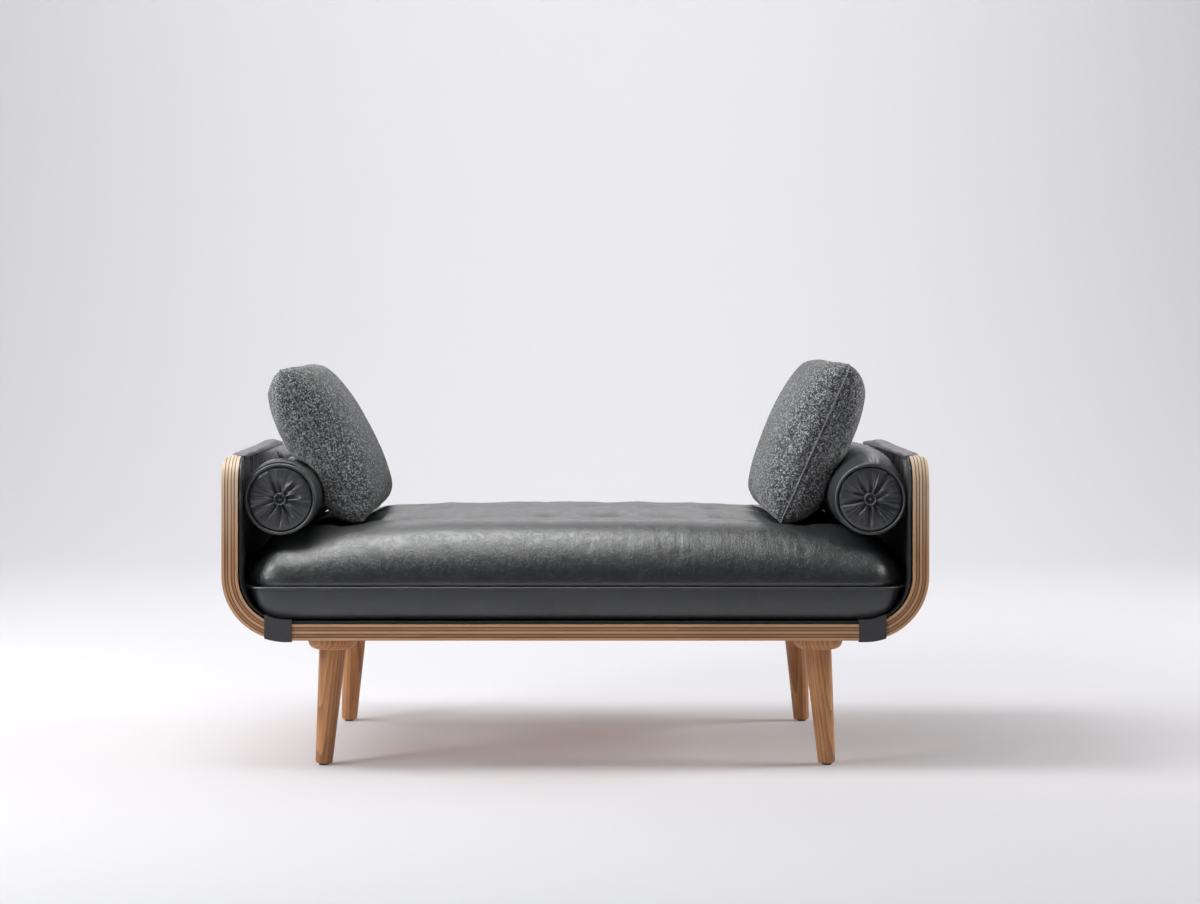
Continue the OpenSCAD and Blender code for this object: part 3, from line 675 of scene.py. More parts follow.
class Finish:
    """The materials of the bench, each made once."""

    gloss_range: float = 0.07
    grain_depth: float = 0.0003

    def __init__(self) -> None:
        """Builds the shared groups."""
        self.hide = hide_group()
        self.figure = figure_group()
        self.loops = loops_group()

    def start(self, name: str, **sockets: object) -> tuple[bpy.types.Material, Wiring,
                                                            bpy.types.Node]:
        """Starts a material with its shader's uniform values.

        Args:
            name: The material's name.
            sockets: Values for the shader's sockets, with _ for a space.

        Returns:
            The material, its wiring and its shader.
        """
        material = bpy.data.materials.new(name)
        material.use_nodes = True
        shader = material.node_tree.nodes["Principled BSDF"]
        for key, value in sockets.items():
            shader.inputs[key.replace("_", " ")].default_value = value
        return material, Wiring(material.node_tree), shader

    def use(self, wire: Wiring, group: bpy.types.NodeTree, **inputs: object) -> bpy.types.Node:
        """Places a group in a material with its own values."""
        node = wire.tree.nodes.new("ShaderNodeGroup")
        node.node_tree = group
        for key, value in inputs.items():
            wire.feed(node.inputs[key], value)
        return node

    def bump(self, wire: Wiring, shader: bpy.types.Node, height: bpy.types.NodeSocket,
             depth: float, strength: float = 1.0) -> None:
        """Gives a shader a bump of some depth."""
        node = wire.node("Bump", {"Height": height, "Distance": depth, "Strength": strength})
        wire.feed(shader.inputs["Normal"], node.outputs[0])

    def tones(self, wire: Wiring, hide: bpy.types.Node, low: tuple[int, int, int],
              high: tuple[int, int, int]) -> bpy.types.NodeSocket:
        """A leather's colour, from its darkest to its palest, by its group's tone."""
        return wire.ramp(hide.outputs["Tone"], [(0.3, shade(*low)), (0.7, shade(*high))])

    def leather(self, kind: Hide) -> bpy.types.Material:
        """A leather, with fine wrinkles that lie across X if it has a ripple.

        Args:
            kind: Its colours, roughness and grain.

        Returns:
            The material.
        """
        material, wire, shader = self.start(kind.name, IOR=1.5, Specular_IOR_Level=0.9)
        hide = self.use(wire, self.hide, Place=wire.place(), Pebbles=kind.pebbles,
                        Creases=kind.creases)
        wire.feed(shader.inputs["Base Color"], self.tones(wire, hide, kind.low, kind.high))
        rough = wire.between(hide.outputs["Gloss"], kind.roughness + self.gloss_range,
                             kind.roughness - self.gloss_range)
        wire.feed(shader.inputs["Roughness"], rough)
        height = hide.outputs["Height"]
        if kind.ripple:
            x, y, z = wire.split(wire.place())
            drawn = wire.join(x, wire.math("MULTIPLY", y, 0.1), wire.math("MULTIPLY", z, 0.1))
            wrinkle = wire.math("MULTIPLY", wire.noise(drawn, 75.0, 4.0, 0.62), kind.ripple)
            height = wire.math("ADD", height, wrinkle)
        self.bump(wire, shader, height, kind.depth)
        return material

    def lining(self) -> bpy.types.Material:
        """The lining: dull and nearly black below, glossier above, with a painted sheen that makes
        its upper, gathered part paler.
        """
        material, wire, shader = self.start("black_lining", IOR=1.5, Specular_IOR_Level=0.5)
        hide = self.use(wire, self.hide, Place=wire.place(), Pebbles=900.0, Creases=60.0)
        x, y, z = wire.split(wire.place())
        high = wire.climb(z, 0.48, 0.555)
        dull = self.tones(wire, hide, (9, 10, 14), (16, 17, 22))
        # Upright pale streaks are painted glints on the crests of the gathers
        drawn = wire.join(x, y, wire.math("MULTIPLY", z, 0.12))
        painted_glint = wire.ramp(wire.noise(drawn, 150.0, 2.0, 0.6), [(0.50, 0.0), (0.64, 1.0)])
        # Painted sheen: the upper, gathered part is paler, as if it caught the light, and the
        # painted glints lie over it
        gathered = self.tones(wire, hide, (66, 67, 71), (86, 87, 91))
        pale = wire.mix(painted_glint, gathered, shade(176, 177, 180))
        wire.feed(shader.inputs["Base Color"], wire.mix(high, dull, pale))
        wire.feed(shader.inputs["Roughness"],
                  wire.math("SUBTRACT", 0.75, wire.math("MULTIPLY", high, 0.37)))
        self.bump(wire, shader, hide.outputs["Height"], 0.00035)
        return material

    def oak_colours(self, wire: Wiring, where: bpy.types.NodeSocket,
                    oak: Oak) -> tuple[bpy.types.NodeSocket, bpy.types.NodeSocket]:
        """Oak's colour and the height of its grain.

        Args:
            wire: The material's wiring.
            where: The place in the board, with the grain along X.
            oak: The wood's colours.

        Returns:
            The sockets of the colour and of the height.
        """
        figure = self.use(wire, self.figure, Place=where, Bands=oak.bands)
        pale, mid, dark = (shade(*colour) for colour in (oak.pale, oak.mid, oak.dark))
        wood = wire.ramp(figure.outputs["Band"], [(0.2, pale), (0.5, mid), (0.85, dark)])
        pore = wire.math("MULTIPLY", figure.outputs["Pores"], 0.6)
        return wire.mix(pore, wood, dark), figure.outputs["Height"]

    def turned_oak(self, name: str, top: tuple[float, float, float],
                   shift: tuple[float, float]) -> bpy.types.Material:
        """Oak turned on a lathe, with its grain along the leg's own axis.

        Args:
            name: The material's name.
            top: The middle of the leg's top.
            shift: How far the leg moves along X and Y for each metre down.

        Returns:
            The material.
        """
        material, wire, shader = self.start(name, Roughness=0.42, IOR=1.5)
        x, y, z = wire.split(wire.place())
        side_x = wire.math("SUBTRACT", wire.math("ABSOLUTE", x), top[0])
        side_y = wire.math("SUBTRACT", wire.math("ABSOLUTE", y), top[1])
        down = wire.math("SUBTRACT", top[2], z)
        own_x = wire.math("SUBTRACT", side_x, wire.math("MULTIPLY", down, shift[0]))
        own_y = wire.math("SUBTRACT", side_y, wire.math("MULTIPLY", down, shift[1]))
        # Each leg has its own stretch of the board
        lot_x = wire.math("MULTIPLY", wire.math("SIGN", x), 0.37)
        lot_y = wire.math("MULTIPLY", wire.math("SIGN", y), 0.71)
        along = wire.math("ADD", z, wire.math("ADD", lot_x, lot_y))
        where = wire.join(along, wire.math("ADD", own_x, lot_x), own_y)
        colour, height = self.oak_colours(wire, where, TURNED)
        wire.feed(shader.inputs["Base Color"], colour)
        self.bump(wire, shader, height, self.grain_depth, 0.6)
        return material

    def laminate(self, places: Places, board: "Board") -> bpy.types.Material:
        """The bent shell: oak faces with their grain round the U, and layered edges.

        Args:
            places: Where the shell is.
            board: The board's sizes.

        Returns:
            The material.
        """
        ply, layers, bend = board.ply, board.layers, board.bend
        material, wire, shader = self.start("bent_oak_ply", Roughness=0.45, IOR=1.5)
        x, y, z = wire.split(wire.place())
        span = wire.math("ABSOLUTE", x)
        bend_x = places.half_width - bend
        bend_z = places.shell_low + bend
        in_x = wire.past(span, bend_x)
        past_z = wire.math("SUBTRACT", bend_z, z)
        in_z = wire.math("MAXIMUM", past_z, 0.0)
        depth = wire.math("SUBTRACT", bend, wire.length(in_x, in_z))
        turn = wire.math("MULTIPLY", wire.math("ARCTAN2", in_x, in_z), bend - ply / 2)
        climb = wire.math("SUBTRACT", 0.0, wire.math("MINIMUM", past_z, 0.0))
        reach = wire.math("ADD", wire.math("MINIMUM", span, bend_x),
                          wire.math("ADD", turn, climb))
        run = wire.math("MULTIPLY", reach, wire.math("SIGN", x))
        layer = wire.math("DIVIDE", depth, ply / layers)
        number = wire.math("FLOOR", layer)
        lot = wire.math("MULTIPLY", number, 0.613)
        where = wire.join(wire.math("ADD", run, lot), y, wire.math("ADD", depth, lot))
        colour, height = self.oak_colours(wire, where, FACE)
        # The edge is where a point reaches the rounded outline, or the rolled top
        in_y = wire.past(wire.math("ABSOLUTE", y), places.half_depth - board.corner)
        in_top = wire.past(z, places.shell_top - board.corner)
        rim = wire.math("GREATER_THAN", wire.length(in_y, in_top), board.corner - 0.0009)
        rolled = wire.math("MULTIPLY",
                           wire.math("GREATER_THAN", z, places.shell_top - board.top_edge),
                           wire.math("GREATER_THAN", depth, 0.0004))
        edge = wire.math("MAXIMUM", rim, rolled)
        # Every other layer is a little darker there, and a dark line of glue parts them
        strip = wire.mix(wire.math("PINGPONG", number, 1.0), shade(236, 192, 148),
                         shade(188, 130, 86))
        toned = wire.mix(wire.math("MULTIPLY", edge, 0.6), colour, strip)
        # The edges are palest towards the top of the ends: a painted highlight of the light from
        # above
        pale = wire.math("MULTIPLY", wire.math("MULTIPLY", edge, wire.climb(z, 0.40, 0.57)), 0.75)
        toned = wire.mix(pale, toned, shade(254, 230, 200))
        middle = wire.math("ABSOLUTE", wire.math("SUBTRACT", wire.math("FRACT",
                           wire.math("ADD", layer, 0.5)), 0.5))
        line = wire.math("LESS_THAN", middle, 0.12)
        inner = wire.math("COMPARE", layer, layers / 2, layers / 2 - 0.5)
        glue = wire.math("MULTIPLY", wire.math("MULTIPLY", line, inner), edge)
        wire.feed(shader.inputs["Base Color"], wire.mix(glue, toned, shade(84, 52, 34)))
        self.bump(wire, shader, height, self.grain_depth, 0.5)
        return material

    def boucle(self) -> bpy.types.Material:
        """The pillows' looped wool in light, middle and dark grey yarns."""
        material, wire, shader = self.start("grey_boucle", Roughness=0.92, IOR=1.45,
                                            Sheen_Weight=0.25, Sheen_Roughness=0.6,
                                            Specular_IOR_Level=0.2)
        loops = self.use(wire, self.loops, Place=wire.place(), Loops=450.0)
        colour = wire.ramp(loops.outputs["Tone"], [
            (0.15, shade(48, 49, 51)), (0.45, shade(88, 90, 92)), (0.65, shade(122, 124, 125)),
            (0.88, shade(196, 197, 196))])
        wire.feed(shader.inputs["Base Color"], colour)
        self.bump(wire, shader, loops.outputs["Height"], 0.0009)
        return material

    def plain(self, name: str, colour: tuple, roughness: float, metallic: float = 0.0,
              speckle: float = 0.12) -> bpy.types.Material:
        """A small part's finish, slightly uneven in tone.

        Args:
            name: The material's name.
            colour: Its colour.
            roughness: Its roughness.
            metallic: 1 for a metal.
            speckle: How uneven it is.

        Returns:
            The material.
        """
        material, wire, shader = self.start(name, Metallic=metallic, IOR=1.5)
        cloud = wire.noise(wire.place(), 240.0, 4.0, 0.6)
        pale = tuple(min(1.0, c * (1 + 3 * speckle)) for c in colour[:3]) + (1.0,)
        wire.feed(shader.inputs["Base Color"], wire.ramp(cloud, [(0.3, colour), (0.8, pale)]))
        wire.feed(shader.inputs["Roughness"],
                  wire.between(cloud, roughness - speckle / 2, roughness + speckle / 2))
        self.bump(wire, shader, cloud, 0.0002, 0.5)
        return material


# Sub-assemblies


@dataclass
class Assembly:
    """A group of pieces that ride on one body."""

    places: Places
    body: str

    def settle(self, piece: bpy.types.Object, material: bpy.types.Material, slot: str,
               *nodes: str) -> bpy.types.Object:
        """Dresses a finished piece and puts it on its body.

        Args:
            piece: The piece, in place.
            material: Its finish.
            slot: The record's slot that the finish belongs to. It is not used.
            nodes: The CAD nodes that it stands for.

        Returns:
            The piece.
        """
        piece.data.materials.clear()
        piece.data.materials.append(material)
        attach(piece, self.body)
        if nodes:
            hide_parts(*nodes)
        LOG.info("%s: %d faces on %s", piece.name, len(piece.data.polygons), self.body)
        return piece


def dress(node: str, material: bpy.types.Material) -> None:
    """Gives a CAD node its finish."""
    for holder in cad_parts[node].material_slots:
        holder.material = material
    LOG.info("%s: dressed with %s", node, material.name)


@dataclass(frozen=True)
class Board:
    """Sizes of the bent board and of the lining that lies on it."""

    ply: float = 0.030
    layers: int = 5
    bend: float = 0.119
    corner: float = 0.050
    top_edge: float = 0.010
    lining: float = 0.005
    lining_inset: float = 0.0015


@dataclass
class Shell(Assembly):
    """The bent board, its straps, its legs and their fasteners, all as the CAD has them."""

    board: Board
    leg_top: tuple[float, float] = (0.455, 0.230)
    splay: tuple[float, float] = (4.0, 4.5)
    stitch_pitch: float = 0.0055
    stitch_length: float = 0.0036
    stitch_inset: float = 0.004

    def build(self, finish: Finish, strap: bpy.types.Material) -> None:
        """Dresses the rigid nodes and sews the straps.

        Args:
            finish: The bench's finishes.
            strap: The straps' leather.
        """
        dress("shell", finish.laminate(self.places, self.board))
        plate_low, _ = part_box("leg_plate_front_right")
        shift = tuple(math.tan(math.radians(a)) for a in self.splay)
        oak = finish.turned_oak("turned_oak", (*self.leg_top, plate_low.z), shift)
        steel = finish.plain("zinc_steel", shade(188, 189, 192), 0.35, 1.0)
        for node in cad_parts:
            if node.startswith("leg_"):
                dress(node, oak)
            elif node.startswith("strap_"):
                dress(node, strap)
        for node in ("hanger_bolts", "insert_nuts", "plate_screws"):
            dress(node, steel)
        dress("glides", finish.plain("black_glide", shade(30, 30, 32), 0.5))
        thread = finish.plain("waxed_thread", shade(62, 62, 64), 0.6)
        for side in Side:
            self.sew_strap(side, thread)

    def sew_strap(self, side: Side, thread: bpy.types.Material) -> None:
        """Adds a row of stitches near each edge of a strap, on its front.

        Args:
            side: The strap's end of the bench.
            thread: The thread's finish.
        """
        low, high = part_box(f"strap_{side.word}")
        row = [low.x + self.stitch_inset, high.x - self.stitch_inset]
        spots = []
        for x in row:
            rise = self.strap_rise(abs(x))
            count = int((self.board.ply + 0.001) / self.stitch_pitch)
            spots += [(x, low.z + rise + (k + 0.8) * self.stitch_pitch) for k in range(count)]
        deselect_all()
        bpy.ops.mesh.primitive_uv_sphere_add(segments=8, ring_count=6,
                                             radius=self.stitch_length / 2)
        stitch = adopt(f"strap_{side.word}_stitches")
        bead = points_of(stitch) * (0.28, 0.28, 1.0)
        set_points(stitch, bead + (spots[0][0], low.y, spots[0][1]))
        with editing(stitch):
            for before, after in zip(spots, spots[1:]):
                bpy.ops.mesh.duplicate()
                bpy.ops.transform.translate(value=(after[0] - before[0], 0, after[1] - before[1]))
        smooth(stitch)
        self.settle(stitch, thread, "strap_leather")

    def strap_rise(self, x: float) -> float:
        """How far the board's underside has risen at a distance from the middle."""
        past = max(0.0, x - (self.places.half_width - self.board.bend))
        return self.board.bend - math.sqrt(self.board.bend ** 2 - past ** 2)


@dataclass
class Lining(Assembly):
    """The leather lining of the shell and the padded caps over its ends."""

    board: Board
    start_x: float = 0.546
    gather_depth: float = 0.0026
    gather_reach: float = 0.055
    gather_pitch: float = 0.0095
    cap_start: float = 0.001
    cap_rise: float = 0.0072
    hem_drop: float = 0.009
    lip: float = 0.0022
    lip_drop: float = 0.0034
    overhang: float = 0.007
    puff: float = 0.025
    seam_r: float = 0.0017

    def build(self, leather: bpy.types.Material, cap_leather: bpy.types.Material,
              cord: bpy.types.Material) -> None:
        """Makes the base sheet, the gathered end sheets, the caps and their seams.

        Args:
            leather: The lining's leather.
            cap_leather: The caps' leather.
            cord: The seams' finish.
        """
        self.base_sheet(leather)
        for side in Side:
            self.end_sheet(side, leather)
            self.cap(side, cap_leather, cord)

    def base_sheet(self, leather: bpy.types.Material) -> None:
        """The sheet on the shell's base, which turns up a little at both ends."""
        low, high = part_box("base_lining")
        level = low.z + self.board.lining

        def shape(u: Points, v: Points) -> Points:
            """The sheet's upper face."""
            x = u * high.x
            past = np.maximum(np.abs(x) - self.places.half_width + self.board.bend, 0)
            radius = self.board.bend - self.board.ply - self.board.lining
            rise = radius - np.sqrt(radius ** 2 - past ** 2)
            plan = np.stack([x, v * high.y, 0 * u], axis=1)
            plan[:, 2] = level + rise - 0.0004 + 0.0004 * waves(plan, 14, 3.0, 2)
            return plan

        piece = sheet_of("lining_base", 130, 60, shape)
        modify(piece, "SOLIDIFY", thickness=self.board.lining - 0.001, offset=-1)
        smooth(piece)
        self.settle(piece, leather, "lining_leather", "base_lining")

    def inner_line(self, run: np.ndarray, depth: np.ndarray) -> Points:
        """Points along the U, some depth in from the shell's outside, at the right end.

        Args:
            run: Distance along the line from the start of the bend, negative before it.
            depth: Distance in from the outside.

        Returns:
            X and Z of each point.
        """
        bend_x = self.places.half_width - self.board.bend
        bend_z = self.places.shell_low + self.board.bend
        radius = self.board.bend - depth
        middle = self.board.bend - self.board.ply - self.board.lining
        quarter = middle * math.pi / 2
        turn = np.clip(run / middle, 0, math.pi / 2)
        x = bend_x + radius * np.sin(turn) + np.minimum(run, 0)
        z = bend_z - radius * np.cos(turn) + np.maximum(run - quarter, 0)
        return np.stack([x, z], axis=1)

    def end_sheet(self, side: Side, leather: bpy.types.Material) -> None:
        """One end's sheet, smooth below and gathered under the cap's seam.

        Args:
            side: The end.
            leather: Its leather.
        """
        board = self.board
        bend_x = self.places.half_width - board.bend
        bend_z = self.places.shell_low + board.bend
        quarter = (board.bend - board.ply - board.lining) * math.pi / 2
        first = self.start_x - bend_x
        last = quarter + self.places.shell_top - TOUCH - bend_z
        half = self.places.half_depth - board.lining_inset

        def shape(u: Points, v: Points) -> Points:
            """The sheet's inner face, narrower where the top corners are round."""
            share = (u + 1) / 2
            run = first + (last - first) * share ** 0.7
            above = np.maximum(run - last + board.corner, 0)
            wide = half - board.corner + np.sqrt(np.maximum(board.corner ** 2 - above ** 2, 0))
            y = v * wide
            fold = self.gathers(y, last - run, side)
            line = self.inner_line(run, board.ply + board.lining - fold
                                   + self.bulge(y, last - run, side))
            return np.stack([side.value * line[:, 0], y, line[:, 1]], axis=1)

        piece = sheet_of(f"lining_end_{side.word}", 150, 520, shape)
        close_up(piece)
        inward = sum(f.normal.x * f.area for f in piece.data.polygons) * side.value < 0
        modify(piece, "SOLIDIFY", thickness=board.lining - self.gather_depth - 0.0004,
               offset=-1 if inward else 1)
        close_up(piece, 1e-7)
        smooth(piece, 70)
        self.settle(piece, leather, "lining_leather", f"end_lining_{side.word}")

    def gathers(self, y: np.ndarray, below: np.ndarray, side: Side) -> np.ndarray:
        """Depth of the gathered folds at a place on an end's sheet.

        Args:
            y: Where along the end.
            below: Distance below the sheet's top.
            side: The end.

        Returns:
            How far the sheet lies back from its flat face.
        """
        rng = np.random.default_rng(7 if side is Side.LEFT else 8)
        half = self.places.half_depth
        spots = np.arange(-half, half, self.gather_pitch)
        spots = spots + rng.uniform(-0.0035, 0.0035, len(spots))
        depth = rng.uniform(0.35, 1.0, len(spots))
        reach = rng.uniform(0.35, 1.0, len(spots)) * self.gather_reach
        slant = rng.uniform(-0.12, 0.12, len(spots))
        fold = np.zeros_like(y)
        for spot, deep, long, lean in zip(spots, depth, reach, slant):
            off = (y - spot - lean * below) / (0.0016 + 0.03 * np.minimum(below, 0.08))
            fold = np.maximum(fold, deep * np.exp(-off ** 2) * np.exp(-(below / long) ** 2))
        calm = np.clip((0.05 - y) / 0.22, 0.22, 1) if side is Side.LEFT else 1.0
        return self.gather_depth * fold * calm

    def bulge(self, y: np.ndarray, below: np.ndarray, side: Side) -> np.ndarray:
        """How far the slack leather stands in towards the back of the left end.

        Args:
            y: Where along the end.
            below: Distance below the sheet's top.
            side: The end.

        Returns:
            How far the sheet stands in from its flat face.
        """
        if side is Side.RIGHT:
            return np.zeros_like(y)
        edge = self.places.half_depth - self.board.lining_inset
        along = ease(y, -0.03, 0.20) * ease(edge - y, 0.0, 0.014)
        pleat = 1 - 0.35 * bell(y, 0.127, 0.012)
        return self.puff * along * pleat * bell(below, 0.028, 0.022) * ease(below, 0.0, 0.012)

    def cap_top(self, along: np.ndarray) -> np.ndarray:
        """How far a cap stands over the shell's top, from its front end to its back end."""
        tip = np.clip(np.minimum(0.1 + 7 * along, 0.25 + 6 * (1 - along)), 0, 1)
        lump = 0.30 + 0.70 * ease(along, 0.45, 0.90) + 0.10 * np.sin(17 * along)
        return self.cap_rise * tip * lump

    @property
    def cap_reach(self) -> float:
        """How far a cap runs to the front and to the back of the bench's middle."""
        return self.places.half_depth - self.board.corner - self.cap_start

    @property
    def inner_x(self) -> float:
        """X of the lining's inner face at the right end."""
        return self.places.half_width - self.board.ply - self.board.lining

    def cap_edge(self, along: np.ndarray, side: Side) -> np.ndarray:
        """X of a cap's inner edge, which hangs over the lining towards the back."""
        hang = self.overhang * (1 + 0.7 * side.value)
        return self.inner_x - self.lip - hang * np.clip((along - 0.75) / 0.25, 0, 1) ** 2

    def cap_skin(self, u: Points, v: Points, side: Side) -> Points:
        """A cap's skin: a low lumpy dome from the lining's edge to the board's outside.

        Args:
            u: Round the section, from -1 to 1.
            v: From front to back, from -1 to 1.
            side: The end.

        Returns:
            The positions.
        """
        outer = self.places.half_width
        edge_r = self.board.top_edge
        along = (v + 1) / 2
        y = self.cap_reach * v
        angle = (u + 1) * math.pi
        near = self.cap_edge(along, side)
        far = near + (outer - near) * np.clip(0.35 + 4 * along, 0, 1)
        middle = (far + near) / 2
        half = (far - near) / 2
        x = middle + half * np.sign(np.cos(angle)) * np.abs(np.cos(angle)) ** 0.6
        share = (x - near) / (far - near)
        # The hem follows the rounded outer edge of the board
        past = np.maximum(x - outer + edge_r, 0)
        drop = edge_r - np.sqrt(np.maximum(edge_r ** 2 - past ** 2, 0))
        under = np.where(x < self.inner_x, self.lip_drop, 0.0002) + np.minimum(drop, self.hem_drop)
        spot = np.stack([0 * y + side.value, y, 0 * y], axis=1)
        dome = self.cap_top(along) * (1 + 0.18 * waves(spot, 26, 12.0, 2))
        skin = np.clip(1 - (2 * share - 1) ** 4, 0, 1) ** 0.6
        crumple = np.stack([x * 2.5, y, 0 * y + side.value], axis=1)
        fine = 0.0007 * waves(crumple, 70, 13.0, 3) * skin
        full = np.clip(1 - (share / 0.9) ** 3, 0, 1) ** 0.7
        pad = (0.0012 + dome * full + under) * np.clip(np.abs(np.sin(angle)), 0, 1) ** 0.5
        z = self.places.shell_top - under + np.where(np.sin(angle) > 0, pad + fine, 0)
        return np.stack([side.value * x, y, z], axis=1)

    def cap_seam(self, side: Side, count: int = 200) -> Points:
        """Points of the seam along a cap's inner edge, from front to back."""
        along = np.linspace(0.0, 1.0, count)
        y = self.cap_reach * (2 * along - 1)
        spot = np.stack([0 * y + side.value, y, 0 * y], axis=1)
        drop = self.lip_drop + 0.0006 + 0.0004 * waves(spot, 40, 14.0, 2)
        x = side.value * (self.cap_edge(along, side) + self.seam_r * 0.8)
        return np.stack([x, y, self.places.shell_top - drop], axis=1)

    def cap(self, side: Side, leather: bpy.types.Material, cord: bpy.types.Material) -> None:
        """Makes the padded cap over an end, with its seam.

        Args:
            side: The end.
            leather: The cap's leather.
            cord: The seam's finish.
        """
        piece = sheet_of(f"rim_cap_{side.word}_leather", 64, 460,
                         lambda u, v: self.cap_skin(u, v, side))
        with editing(piece):
            bpy.ops.mesh.remove_doubles(threshold=1e-6)
        self.close_ends(piece)
        close_up(piece)
        smooth(piece, 60)
        self.settle(piece, leather, "lining_leather", f"rim_cap_{side.word}")
        seam = tube_of(f"rim_cap_{side.word}_seam", self.cap_seam(side), self.seam_r, cyclic=False)
        smooth(seam)
        self.settle(seam, cord, "lining_leather")

    def close_ends(self, piece: bpy.types.Object) -> None:
        """Closes an open tube by drawing each end in to its middle."""
        for _ in range(2):
            activate(piece)
            bpy.ops.object.mode_set(mode="EDIT")
            bpy.ops.mesh.select_mode(type="VERT")
            bpy.ops.mesh.select_all(action="DESELECT")
            bpy.ops.mesh.select_non_manifold()
            bpy.ops.object.mode_set(mode="OBJECT")
            picked = [v for v in piece.data.vertices if v.select]
            if not picked:
                return
            near = min(v.co.y for v in picked)
            for vertex in picked:
                vertex.select = vertex.co.y < near + 0.02
            for edge in piece.data.edges:
                edge.select = all(piece.data.vertices[k].select for k in edge.vertices)
            bpy.ops.object.mode_set(mode="EDIT")
            bpy.ops.mesh.extrude_edges_move()
            bpy.ops.mesh.merge(type="CENTER")
            bpy.ops.object.mode_set(mode="OBJECT")


